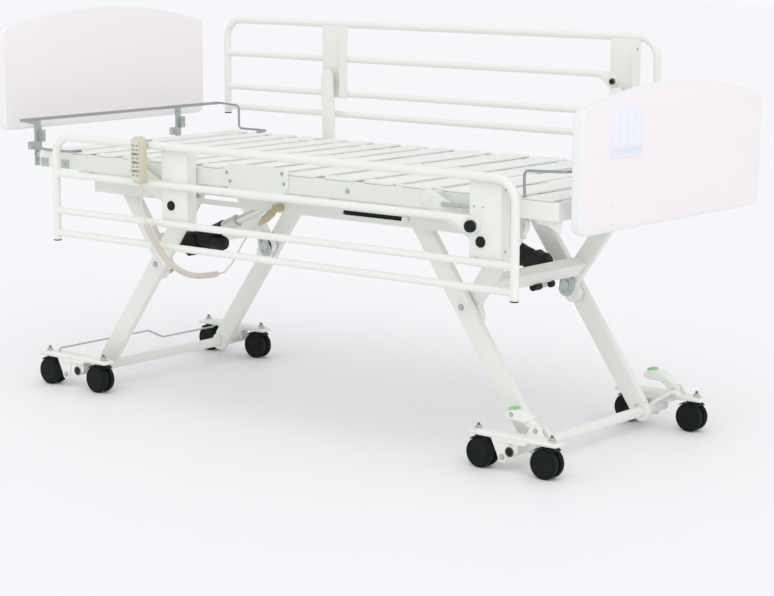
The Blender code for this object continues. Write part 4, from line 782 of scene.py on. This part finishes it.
# Blank plate and bolts on the side rails, and the control box under the deck with its vents and
# cable glands
PLATE_OUT = SIDE_FACE + 0.0003
cover = [(-0.158, SIDE_LOW + 0.028), (-0.118, SIDE_LOW - 0.03), (0.062, SIDE_LOW - 0.03),
         (0.104, SIDE_LOW + 0.012), (0.104, SIDE_TOP + 0.012), (0.09, SIDE_TOP + 0.022),
         (-0.13, SIDE_TOP + 0.022), (-0.158, SIDE_TOP + 0.006)]
piece("side_cover", [plate(cover, 0.004, -PLATE_OUT - 0.004, -PLATE_OUT)], POWDER, "frame", "side_plate")
shapes = []
for x, dz in ((-0.142, 0.044), (-0.128, 0.018), (0.08, 0.056), (0.088, 0.026), (-0.105, -0.018),
              (0.05, -0.018)):
    shapes += bolt((x, -PLATE_OUT - 0.004, SIDE_LOW + dz), (0, -1, 0), 0.0042, 0.0022, 0.0058)
for x in (-0.35, 0.33, 0.93):
    for s, _ in SIDES:
        shapes += bolt((x, s * SIDE_FACE, SIDE_TOP - 0.026), (0, s, 0), 0.0055, 0.0035, 0.008)
piece("side_bolts", shapes, ZINC, "frame")
BOX_X, BOX_Y = (-0.11, 0.06), TRACK_Y - TRACK_FLANGE - 0.0003
z0, z1 = TRACK_Z0 + 0.004, SIDE_LOW - 0.015
shapes = [block(*BOX_X, -BOX_Y, -BOX_Y + 0.095, z0, z1, 0.004, 0.008)]
for i in range(12):
    x = BOX_X[0] + 0.014 + 0.012 * i
    shapes.append(block(x, x + 0.006, -BOX_Y + 0.01, -BOX_Y + 0.085, z0 - 0.0012, z0 + 0.001, 0.0005))
gland = [(0.007, 0), (0.007, 0.008), (0.0045, 0.012), (0.0035, 0.02)]
shapes += [turned(gland, (BOX_X[1] - 0.002, -BOX_Y + 0.02 + 0.018 * i, z0 + 0.02), ALONG, 20)
           for i in range(4)]
piece("control_box_shell", shapes, NYLON, "frame", "control_box")

# Lift arms, legs, bases, casters, pedals and actuators
TIE_AT, TIE_W, TIE_H = 0.075, 0.04, 0.05
BASE_TUBE_R, STEM_R, AXLE_R = 0.016, 0.006, 0.006
LUG_IN, LUG_DROP, TUBE_R, TUBE_L, ROD_R = 0.056, 0.012, 0.019, 0.27, 0.013
GEAR_FROM, GEAR_TO, GEAR_UP, GEAR_DOWN = 0.03, 0.085, 0.024, 0.045
MOTOR_R, MOTOR_UP = 0.025, 0.026
PEDAL_X, PEDAL_Z = 0.065, BASE_TOP + 0.018


def lift_end(e, label):
    """Arms with their cross tube, and the two legs with pins and hubs."""
    pivot, mid, pin, foot = lift_points(e)
    u = unit(pivot - mid)
    tie = mid + u * TIE_AT
    shapes = []
    for s, _ in SIDES:
        y0, y1 = side_span(s, ARM_IN, ARM_Y + ARM_T / 2)
        shapes += strap(pivot, mid, ARM_R, y0, y1, PIN_R + ROOM, LEG_PIN_R + ROOM)
        shapes += strap(mid, mid + np.array([e * 0.02, -0.026]), 0.028, y0, y1, LEG_PIN_R + ROOM, 0)
        shapes.append(beam((tie[0] - u[0] * 0.03, s * (ARM_IN - 0.001), tie[1] - u[1] * 0.03),
                           (tie[0] + u[0] * 0.03, s * (ARM_IN - 0.001), tie[1] + u[1] * 0.03),
                           0.046, 0.004, 0.0015, ACROSS))
    shapes.append(beam((tie[0], -ARM_Y, tie[1]), (tie[0], ARM_Y, tie[1]), TIE_W, TIE_H, 0.006,
                       (u[0], 0, u[1])))
    lug = np.array([tie[0] - e * LUG_IN, tie[1] - LUG_DROP])
    act_y = e * ACT_Y
    for y in (act_y - 0.03, act_y + 0.024):
        shapes += strap(lug, tie, 0.013, y, y + 0.006, 0, 0, 0.0015)
    shapes.append(rod(AXLE_R, act_y - 0.032, act_y + 0.032, (lug[0], 0, lug[1]), ACROSS))
    piece("lift_arms_" + label, shapes, POWDER, "arm_" + label, "arm_" + label)
    zinc = bolt((lug[0], act_y + 0.031, lug[1]), ACROSS, 0.008, 0.005, 0.011)
    zinc += bolt((lug[0], act_y - 0.031, lug[1]), (0, -1, 0), 0.008, 0.005, 0.011)
    under = (tie[0], 0, tie[1] - 0.036)
    zinc.append(rod(0.0075, 0.036, 0.066, under, (0, e, 0), 24))
    piece("lift_arm_bolts_" + label, zinc, ZINC, "arm_" + label)
    if e > 0:
        # Painted shade: black strips behind the slots in the tracks, so that the slots read dark
        wall = TRACK_Y - TRACK_T - 0.0003
        shade_strips = [block(pin[0] - 0.242, pin[0] - 0.006, *side_span(s, wall - 0.001, wall), pin[1] - 0.0115,
                       pin[1] + 0.0115, 0.0003) for s, _ in SIDES]
        piece("slot_shade_strips", shade_strips, SLOT_SHADE_STRIP, "frame")
    bumpers = []
    for a, b in ((-0.004, 0.036), (0.086, 0.102)):
        bumper = [(0.009, a), (0.0115, a + 0.002), (0.0115, b - 0.002), (0.009, b)]
        bumpers.append(turned(bumper, under, (0, e, 0), 28))
    piece("tie_bumpers_" + label, bumpers, NYLON, "arm_" + label)
    for s, side in SIDES:
        y0, y1 = side_span(s, LEG_Y - LEG_T / 2, LEG_OUT)
        shapes = strap(pin, foot, LEG_R, y0, y1, 0, BASE_TUBE_R + ROOM, 0.005)
        a, b = side_span(s, LEG_Y, SLOT_PIN_END)
        shapes.append(rod(0.0055, a, b, (pin[0], 0, pin[1]), ACROSS))
        shapes.append(turned([(0.01, 0), (0.011, 0.001), (0.011, 0.006), (0.009, 0.007), (0.001, 0.0072)],
                             (pin[0], s * (TRACK_Y + 0.002), pin[1]), (0, s, 0)))
        shapes.append(rod(LEG_PIN_R, 0, ARM_T + 0.01, (mid[0], s * (ARM_IN - 0.006), mid[1]), (0, s, 0)))
        cap = [(0.0195, 0), (0.0195, 0.003), (0.018, 0.0045), (0.012, 0.0045), (0.001, 0.0046)]
        shapes.append(turned(cap, (mid[0], s * (LEG_OUT - 0.0005), mid[1]), (0, s, 0)))
        piece("leg_bar_%s_%s" % (label, side), shapes, POWDER, "legs_" + label,
              "leg_%s_%s" % (label, side))
        zinc = bolt((mid[0], s * (LEG_OUT + 0.0038), mid[1]), (0, s, 0), 0.0075, 0.0045, 0.0105)
        # Inner hub: a rounded plate with a disc and three bolts
        inner = ARM_IN - 0.0012
        zinc += strap(mid + np.array([e * 0.01, 0.008]), mid + np.array([-e * 0.001, -0.013]), 0.0235,
                      *side_span(s, inner - 0.005, inner), 0, 0, 0.0012)
        zinc.append(turned([(0.0145, 0), (0.015, 0.001), (0.015, 0.003), (0.014, 0.004), (0.001, 0.004)],
                           (mid[0], s * (inner - 0.0048), mid[1]), (0, -s, 0), 40))
        for dx, dz in ((0.021, 0.016), (-0.006, -0.024), (0.014, -0.018)):
            zinc += bolt((mid[0] + e * dx, s * (inner - 0.0048), mid[1] + dz), (0, -s, 0), 0.005, 0.004)
        piece("leg_hub_%s_%s" % (label, side), zinc, ZINC, "legs_" + label)
    return lug, foot


def base_end(e, label, foot):
    """Cross tube and two end beams with lugs, studs, mouths and the pedals' brackets."""
    base_x = foot[0] + e * BASE_OUT[e]
    shapes = [turned([(BASE_TUBE_R - 0.001, -BASE_TUBE_END), (BASE_TUBE_R, 0.001 - BASE_TUBE_END),
                      (BASE_TUBE_R, BASE_TUBE_END - 0.001), (BASE_TUBE_R - 0.001, BASE_TUBE_END)],
                     (foot[0], 0, foot[1]), ACROSS, 40)]
    zinc, mouth = [], []
    for s, _ in SIDES:
        y, b = s * ROW_Y, BASE_TOP - BASE_T
        side_view = [(-BASE_HALF, b + 0.001), (-0.06, b), (-0.048, b - 0.01), (0.048, b - 0.01), (0.06, b),
                     (BASE_HALF, b + 0.001), (BASE_HALF, BASE_TOP - 0.006), (BASE_HALF - 0.04, BASE_TOP),
                     (-BASE_HALF + 0.04, BASE_TOP), (-BASE_HALF, BASE_TOP - 0.006)]
        shapes.append(plate([(base_x + x, z) for x, z in side_view], 0.005, y - BASE_W / 2, y + BASE_W / 2,
                            0.003))
        for dx in (-STEM_DX, STEM_DX):
            shapes.append(turned([(0.0155, 0), (0.0155, 0.0006), (0.0148, 0.001), (0.001, 0.001)],
                                 (base_x + dx, y, BASE_TOP - 0.0006), UP, 28))
        cheek = corners(foot[0] - 0.021, foot[0] + 0.021, foot[1] - 0.006, BASE_TOP - 0.003)
        shapes.append(plate(cheek, [0.006, 0.006, 0.001, 0.001],
                            *side_span(s, ROW_Y - 0.018, ROW_Y + 0.016), 0.0015, steps=4))
        lug_x = base_x - 0.03
        lug = [(lug_x - 0.045, BASE_TOP - 0.006), (lug_x - 0.017, 0.046), (lug_x - 0.012, 0.028),
               (lug_x + 0.012, 0.028), (lug_x + 0.017, 0.046), (lug_x + 0.03, BASE_TOP - 0.006)]
        shapes.append(plate(lug, [0, 0.02, 0.0115, 0.0115, 0.02, 0],
                            *side_span(s, BASE_OUTSIDE - 0.009, BASE_OUTSIDE - 0.003), 0.0012, steps=5))
        zinc += bolt((lug_x, s * (BASE_OUTSIDE - 0.0032), 0.043), (0, s, 0), 0.0065, 0.004, 0.0095)
        mouth.append(ring_turned([(0.012, 0), (0.0152, 0), (0.0152, 0.0012), (0.012, 0.0012)],
                                 (foot[0], s * (BASE_TUBE_END - 0.0002), foot[1]), (0, s, 0)))
    if e < 0:
        x = base_x - 0.08
        path = [(x, -ROW_Y, BASE_TOP - 0.004), (x, -ROW_Y, BASE_TOP + 0.012), (x, 0.03, BASE_TOP + 0.012),
                (x, 0.1, BASE_TOP - 0.02), (x, ROW_Y - 0.03, BASE_TOP - 0.02), (x, ROW_Y, BASE_TOP - 0.008)]
        zinc.append(turning_tube(rounded(path, 0.01, 5), 0.003, 12))
    else:
        for s, _ in SIDES:
            for y in (ROW_Y - 0.036, ROW_Y - 0.01):
                ear = [(base_x + 0.03, BASE_TOP - 0.004), (base_x + 0.1, BASE_TOP - 0.004),
                       (base_x + 0.08, BASE_TOP + 0.03), (base_x + 0.05, BASE_TOP + 0.03)]
                shapes.append(plate(ear, [0, 0, 0.01, 0.01], *side_span(s, y, y + 0.004), steps=4))
            axle_x, out = base_x + PEDAL_X, (0, s, 0)
            zinc += bolt((axle_x, s * (ROW_Y - 0.0062), PEDAL_Z), out, 0.0055, 0.0035, 0.008)
            zinc.append(rod(0.004, 0, 0.036, (axle_x, s * (ROW_Y - 0.04), PEDAL_Z), out))
            bent = [(base_x + 0.092, s * (ROW_Y - 0.04), BASE_TOP + 0.002),
                    (base_x + 0.07, s * (ROW_Y - 0.044), BASE_TOP + 0.012),
                    (base_x + 0.03, s * (ROW_Y - 0.05), BASE_TOP - 0.012),
                    (foot[0], s * (ROW_Y - 0.06), foot[1] + 0.01)]
            shapes.append(turning_tube(smooth_path(bent, 8), 0.0065, 16))
    piece("base_frame_" + label, shapes, POWDER, "base_" + label, "base_" + label)
    piece("base_bolts_" + label, zinc, ZINC, "base_" + label)
    piece("base_mouths_" + label, mouth, BRASS, "base_" + label)
    plug = [(0.0122, 0), (0.0122, 0.0006), (0.011, 0.001), (0.0004, 0.0004)]
    plugs = [turned(plug, (foot[0], s * (BASE_TUBE_END - 0.0004), foot[1]), (0, s, 0)) for s, _ in SIDES]
    piece("base_plugs_" + label, plugs, NYLON, "base_" + label)
    return base_x


# One wheel: tread with rounded shoulders, a groove, a smooth domed cover and a hub cap
WHEEL_PROFILE = [(0.03, 0), (WHEEL_R - 0.0035, 0), (WHEEL_R - 0.001, 0.0012), (WHEEL_R, 0.004),
                 (WHEEL_R, 0.0125), (WHEEL_R - 0.0012, 0.0155), (WHEEL_R - 0.004, 0.0172),
                 (WHEEL_R - 0.0062, 0.0172), (WHEEL_R - 0.0066, 0.016), (WHEEL_R - 0.0076, 0.016),
                 (WHEEL_R - 0.008, 0.0172), (0.026, 0.0178), (0.014, 0.018), (0.0124, 0.0176),
                 (0.0116, 0.0168), (0.0106, 0.0168), (0.01, 0.0179), (0.004, 0.018), (0.0005, 0.018)]


def casters(label, base_x):
    """Twin-wheel casters: hood, neck and stem turn on the base, and the wheels on their axle."""
    for s, side in SIDES:
        for dx, place in ((-STEM_DX, "left"), (STEM_DX, "right")):
            sx, y = base_x + dx, s * ROW_Y
            wx = sx + (TRAIL if dx < 0 else -TRAIL)
            half, core = WHEEL_GAP / 2 + WHEEL_W, WHEEL_GAP / 2 - 0.001
            name = "%s_%s_%s" % (label, side, place)
            # Hood over the wheels, core between them, neck, arm, stem's collar and stem
            t = np.radians(np.linspace(50, 130, 21))
            ri, ro = WHEEL_R + 0.0022, WHEEL_R + 0.0046
            arc = np.concatenate([circle((wx, WHEEL_R), ro, t), circle((wx, WHEEL_R), ri, t[::-1])])
            top = WHEEL_R + ro
            neck = [(wx - 0.017, WHEEL_R + 0.015), (wx + 0.017, WHEEL_R + 0.015), (wx + 0.013, top - 0.001),
                    (wx - 0.013, top - 0.001)]
            collar = [(0.0095, 0), (0.0105, 0.003), (0.0105, 0.01), (0.0085, 0.0128)]
            hood = [slab(arc, y - half, y + half, 0.0009),
                    rod(WHEEL_R - 0.007, -core, core, (wx, y, WHEEL_R), ACROSS, 40),
                    plate(neck, 0.002, y - core, y + core),
                    block(min(sx, wx) - 0.008, max(sx, wx) + 0.008, y - core, y + core, top - 0.014,
                          top - 0.0016),
                    turned(collar, (sx, y, top - 0.012), UP),
                    rod(STEM_R, 0.08, BASE_TOP + 0.0005, (sx, y, 0), UP)]
            piece("caster_hood_" + name, hood, NYLON, "caster_" + name, "caster_" + name)
            nut = bolt((sx, y, BASE_TOP + 0.0007), UP, 0.0088, 0.006, 0.0112)
            piece("caster_nut_" + name, nut, ZINC, "caster_" + name)
            stud = turned([(0.0045, 0), (0.0045, 0.006), (0.0036, 0.0072), (0.0006, 0.0074)],
                          (sx, y, BASE_TOP + 0.0078), UP, 20)
            piece("caster_stud_" + name, [stud], BRASS, "caster_" + name)
            wheel = [turned(WHEEL_PROFILE, (wx, y + way * WHEEL_GAP / 2, WHEEL_R), (0, way, 0), 56)
                     for way in (-1, 1)]
            wheel.append(rod(AXLE_R, -0.008, 0.008, (wx, y, WHEEL_R), ACROSS))
            piece("wheel_pair_" + name, wheel, TREAD, "wheel_" + name, "wheel_" + name)


def pedals(base_x):
    """White sloping levers with a small green cap at the toe."""
    lever = [(0.024, 0.034), (0.045, 0.043), (0.04, 0.053), (0.011, 0.069), (-0.02, 0.066), (-0.04, 0.056),
             (-0.042, 0.043), (-0.018, 0.037), (0.004, 0.038)]
    toe = [(-0.03, 0.06), (-0.004, 0.064), (-0.005, 0.07), (-0.009, 0.0735), (-0.024, 0.0735),
           (-0.031, 0.069)]
    lever, toe = ([(base_x + x, BASE_TOP + z) for x, z in outline] for outline in (lever, toe))
    for s, side in SIDES:
        body = "pedal_" + side
        shapes = strap((base_x + PEDAL_X, PEDAL_Z), (base_x + 0.012, BASE_TOP + 0.048), 0.0105,
                       *side_span(s, ROW_Y - 0.0302, ROW_Y - 0.0118), 0.0045, 0, 0.002)
        shapes.append(plate(lever, 0.004, *side_span(s, ROW_Y - 0.037, ROW_Y - 0.005), 0.0025))
        piece("pedal_lever_" + side, shapes, POWDER, body, body)
        piece("pedal_cap_" + side, [plate(toe, 0.002, *side_span(s, ROW_Y - 0.034, ROW_Y - 0.008), 0.002)],
              GREEN, body)
        piece("pedal_bolt_" + side, bolt((base_x - 0.018, s * (ROW_Y - 0.0052), BASE_TOP + 0.053),
                                         (0, s, 0), 0.0052, 0.0035, 0.0075), ZINC, body)


def actuator(e, label, lug):
    """Black gear housing with a level motor behind it, pale outer tube, ground rod and its fork."""
    y = e * ACT_Y
    tip = np.array([LIFT_X + e * ACT_FRAME_U, ACT_FRAME_Z])
    a = unit(tip - lug)
    n = np.array([-a[1], a[0]]) if a[0] > 0 else np.array([a[1], -a[0]])
    reach = float(np.linalg.norm(tip - lug))

    def off(d, up):
        """The point d along the actuator from its lug, and up square to it."""
        return lug + a * d + n * up

    start, way = (lug[0], y, lug[1]), (a[0], 0, a[1])
    gear = [off(GEAR_FROM - 0.004, 0.014), off(GEAR_FROM + 0.006, GEAR_UP + 0.001),
            off(GEAR_TO - 0.002, GEAR_UP + 0.001), off(GEAR_TO + 0.004, 0.018),
            off(GEAR_TO + 0.002, 0.01 - GEAR_DOWN), off(GEAR_TO - 0.012, -GEAR_DOWN),
            off(GEAR_FROM + 0.01, -GEAR_DOWN), off(GEAR_FROM, 0.014 - GEAR_DOWN)]
    black = [plate(gear, 0.004, y - 0.029, y + 0.029, 0.003)]
    black += strap(lug, off(GEAR_FROM + 0.01, 0), 0.013, y - 0.023, y + 0.023, AXLE_R + ROOM, 0, 0.002)
    motor = [(0.004, 0.019), (0.0195, 0.0193), (0.0235, 0.0215), (MOTOR_R, 0.026), (MOTOR_R, 0.048),
             (0.0241, 0.0495), (0.0241, 0.0525), (MOTOR_R, 0.054), (MOTOR_R, 0.148), (0.0241, 0.1495),
             (0.0241, 0.1525), (MOTOR_R, 0.154), (MOTOR_R, 0.17), (0.0235, 0.183), (0.019, 0.192),
             (0.015, 0.1948), (0.004, 0.195)]
    black.append(turned(motor, (lug[0], y, lug[1] + MOTOR_UP), (-e, 0, 0), 44))
    bore = ROD_R + 0.0012
    shroud = [(bore, 0.092), (0.0228, 0.092), (0.0228, 0.104), (0.0215, 0.108), (0.0215, 0.196),
              (0.0226, 0.198), (0.0226, 0.205), (0.0205, 0.2075), (bore, 0.2075)]
    black.append(ring_turned(shroud, start, way, 36))
    for i in range(4):
        a0, a1 = 0.04 + 0.01 * i, 0.044 + 0.01 * i
        rib = [off(a0, GEAR_UP + 0.002), off(a1, GEAR_UP + 0.002), off(a1, 0.02), off(a0, 0.02)]
        black.append(slab(rib, y - 0.022, y + 0.022, 0.0005))
    body = "motor_" + label
    piece("motor_housing_" + label, black, NYLON, body, "motor_" + label)
    sleeve = [(ROD_R + 0.0005, 0.15), (TUBE_R, 0.15), (TUBE_R, TUBE_L - 0.012),
              (TUBE_R + 0.0016, TUBE_L - 0.01), (TUBE_R + 0.0016, TUBE_L - 0.002), (TUBE_R, TUBE_L),
              (ROD_R + 0.0005, TUBE_L)]
    piece("actuator_tube_" + label, [ring_turned(sleeve, start, way, 40)], ALUMINIUM, body)
    ram = [turned([(ROD_R - 0.001, TUBE_L - 0.004), (ROD_R, TUBE_L - 0.003), (ROD_R, reach - 0.012)],
                  start, way, 36)]
    ram += strap(off(reach - 0.014, 0), tip, 0.013, y - 0.011, y + 0.011, 0, 0.0052, 0.002)
    piece("ram_rod_" + label, ram, ROD_STEEL, "ram_" + label, "ram_" + label)


for e, label in ENDS:
    lug, foot = lift_end(e, label)
    base_x = base_end(e, label, foot)
    casters(label, base_x)
    if e > 0:
        pedals(base_x)
    actuator(e, label, lug)

dressed("main_frame", POWDER, "frame")

# Handset: rounded shell, cream face with two columns of keys, hook over the rail's top tube
rail_top = SWING_Z + SWING_R * math.sin(SWING_ANGLE[-1]) - RAIL_PIVOT_Z + RAIL_H
back = -(RAIL_Y + RAIL_R + 0.0015)
front, half = back - SET_T, SET_W / 2
# Thickness of its face, and how far the rounds at its bottom and top reach
SET_FACE, SET_LOW_R, SET_HIGH_R = 0.0032, 0.022, 0.018
KEY_ROWS, MOVING_ROWS = [0.027 + 0.013 * i for i in range(8)], (1, 3, 5)
KEY_X = (SET_X - 0.0085, SET_X + 0.0085)


def handset_shell():
    """Sections stacked upwards: each is a rounded rectangle whose width follows a capsule-like
    outline, w(z) = half (1 - (1 - z / r)^2.4)^(1 / 2.4) inside r of either end."""
    z = np.concatenate([np.linspace(0, SET_LOW_R, 12), np.linspace(0.03, SET_H - SET_HIGH_R, 8),
                        np.linspace(SET_H - 0.014, SET_H, 10)])[:, None]
    lo, hi = np.clip(1 - z / SET_LOW_R, 0, 1), np.clip(1 - (SET_H - z) / SET_HIGH_R, 0, 1)
    w = half * np.clip(1 - np.maximum(lo, hi) ** 2.4, 0.02, 1) ** (1 / 2.4)
    d = (SET_T - SET_FACE) / 2 * np.clip(1 - np.maximum(lo * 0.82, hi * 0.75) ** 2.4, 0.02, 1) ** (1 / 2.4)
    a = np.linspace(0, 2 * math.pi, 40, endpoint=False)
    cx, cy = (np.sign(v) * np.abs(v) ** 0.42 for v in (np.cos(a), np.sin(a)))
    mid = (back + front + SET_FACE) / 2
    return skin(np.stack([SET_X + w * cx, mid + d * cy, np.broadcast_to(SET_Z0 + z, (len(z), len(a)))], -1))


def plate_xz(x0, x1, z0, z1, y0, y1, edge=0.0006, corner=0.0):
    """A thin upright plate facing the side of the bed."""
    ring = corners(x0, x1, z0, z1)
    return plate(ring, corner, y0, y1, edge, steps=4) if corner else slab(ring, y0, y1, edge)


shell = [handset_shell()]
tube_top, lip = rail_top + RAIL_R + 0.0006, -(RAIL_Y - RAIL_R - 0.0008)
hook = [(back - 0.004, SET_Z0 + SET_H - 0.03), (back - 0.0002, SET_Z0 + SET_H - 0.03),
        (back - 0.0002, tube_top), (lip, tube_top), (lip, tube_top - 0.022),
        (lip + 0.003, tube_top - 0.022), (lip + 0.003, tube_top + 0.003), (back - 0.004, tube_top + 0.003)]
shell.append(slab(hook, SET_X - 0.012, SET_X + 0.012, 0.0008, "x"))
shell.append(turned([(0.005 + 0.0006 * (k % 2) + 0.0004 * k / 2, -0.0002 + 0.0018 * k) for k in range(9)],
                    (TAIL[0][0], TAIL[0][1], SET_Z0), UP, 24))
shell.append(block(SET_X + half - 0.0006, SET_X + half + 0.0002, back - 0.02, back - 0.012, SET_Z0 + 0.03,
                   SET_Z0 + 0.11, 0.0002))
piece("handset_shell", shell, TAN, "rail_near", "handset")
# The face is a ladder of strips, open where the keys go in
face = [plate_xz(x, x + 0.0033, SET_Z0 + 0.03, SET_Z0 + 0.118, front, front + 0.003)
        for x in (SET_X - 0.0185, SET_X + 0.0152)]
edges = [0.01, 0.0363] + [v for i in (1, 3) for v in (KEY_ROWS[i] + 0.0035, KEY_ROWS[i] + 0.0225)]
edges += [KEY_ROWS[5] + 0.0035, 0.137]
for k in range(0, len(edges), 2):
    face.append(plate_xz(SET_X - 0.017, SET_X + 0.017, SET_Z0 + edges[k], SET_Z0 + edges[k + 1],
                         front + 0.0001, front + 0.003, 0.0005))
piece("handset_face", face, TAN_FACE, "rail_near")
for i, up in enumerate(KEY_ROWS):
    moving = i in MOVING_ROWS
    body = "key_%d" % (i // 2 + 1) if moving else "rail_near"
    z = SET_Z0 + up
    # The dark rims round the keys are painted shade for the gaps; the tops are the keys' own colour
    for part, mat, w, h, lo, hi, corner in (("rims", KEY_GAP_SHADE, 0.0058, 0.0032, -0.0001, 0.001, 0.002),
                                            ("tops", KEY_FACE, 0.0046, 0.0022, -0.0006, 0.0004, 0.0014)):
        shapes = [plate_xz(x - w, x + w, z - h, z + h, front + lo, front + hi, 0.0004, corner)
                  for x in KEY_X]
        piece("key_%s_%d" % (part, i), shapes, mat, body, *((body,) if moving and part == "tops" else ()),
              slot="key_tan" if moving else None)


# Floor, light and camera
AMBIENT, SUN_POWER, SUN_WIDE, SUN_WAY = 0.86, 0.75, math.radians(60), (-1.7, 1.8, -2.9)


def stage():
    """Pale floor, soft light from all round, and one broad high light that gives the soft shadow."""
    mesh = bpy.data.meshes.new("floor")
    mesh.from_pydata([(-30, -30, 0), (30, -30, 0), (30, 30, 0), (-30, 30, 0)], [], [(0, 1, 2, 3)])
    mat = bpy.data.materials.new("pale_floor")
    mat.use_nodes = True
    bsdf = mat.node_tree.nodes["Principled BSDF"]
    bsdf.inputs["Base Color"].default_value = linear("#FAFAFC")
    bsdf.inputs["Roughness"].default_value = 0.6
    mesh.materials.append(mat)
    floor = bpy.data.objects.new("floor", mesh)
    bpy.context.scene.collection.objects.link(floor)
    world = bpy.data.worlds.new("studio")
    bpy.context.scene.world = world
    world.use_nodes = True
    tree = world.node_tree
    back = tree.nodes["Background"]
    back.inputs["Color"].default_value = linear("#F9F9FB")
    light = node(tree, "ShaderNodeLightPath")
    amount = node(tree, "ShaderNodeMapRange", {"Value": light.outputs["Is Camera Ray"]}, To_Min=AMBIENT,
                  To_Max=1.0)
    tree.links.new(amount.outputs[0], back.inputs["Strength"])
    lamp = bpy.data.lights.new("high_light", "SUN")
    lamp.energy, lamp.angle = SUN_POWER, SUN_WIDE
    obj = bpy.data.objects.new("high_light", lamp)
    obj.rotation_euler = Vector(SUN_WAY).to_track_quat("-Z", "Y").to_euler()
    bpy.context.scene.collection.objects.link(obj)


stage()

CAM_AT = (4.4331, -5.3427 + MIDDLE_Y, 1.5424)
YAW, PITCH, ROLL = math.radians(38.963), math.radians(10.32), math.radians(0.23)
FOCAL_PX, WIDE_PX, HIGH_PX, AXIS_PX, SENSOR = 2224.28, 774, 596, 320.06, 36.0
ahead = np.array((-math.sin(YAW) * math.cos(PITCH), math.cos(YAW) * math.cos(PITCH), -math.sin(PITCH)))
right = np.array((math.cos(YAW), math.sin(YAW), 0.0))
upward = np.cross(right, ahead)
right, upward = (math.cos(ROLL) * right + math.sin(ROLL) * upward,
                 -math.sin(ROLL) * right + math.cos(ROLL) * upward)
lens = bpy.data.cameras.new("camera")
lens.sensor_fit, lens.sensor_width = "HORIZONTAL", SENSOR
lens.lens = FOCAL_PX / WIDE_PX * SENSOR
lens.shift_y = (AXIS_PX - HIGH_PX / 2) / WIDE_PX
camera = bpy.data.objects.new("camera", lens)
place = np.eye(4)
place[:3] = np.column_stack([right, upward, -ahead, CAM_AT])
camera.matrix_world = Matrix(place.tolist())
bpy.context.scene.collection.objects.link(camera)
bpy.context.scene.camera = camera
bpy.context.scene.view_settings.view_transform = "Standard"

bpy.context.view_layer.update()
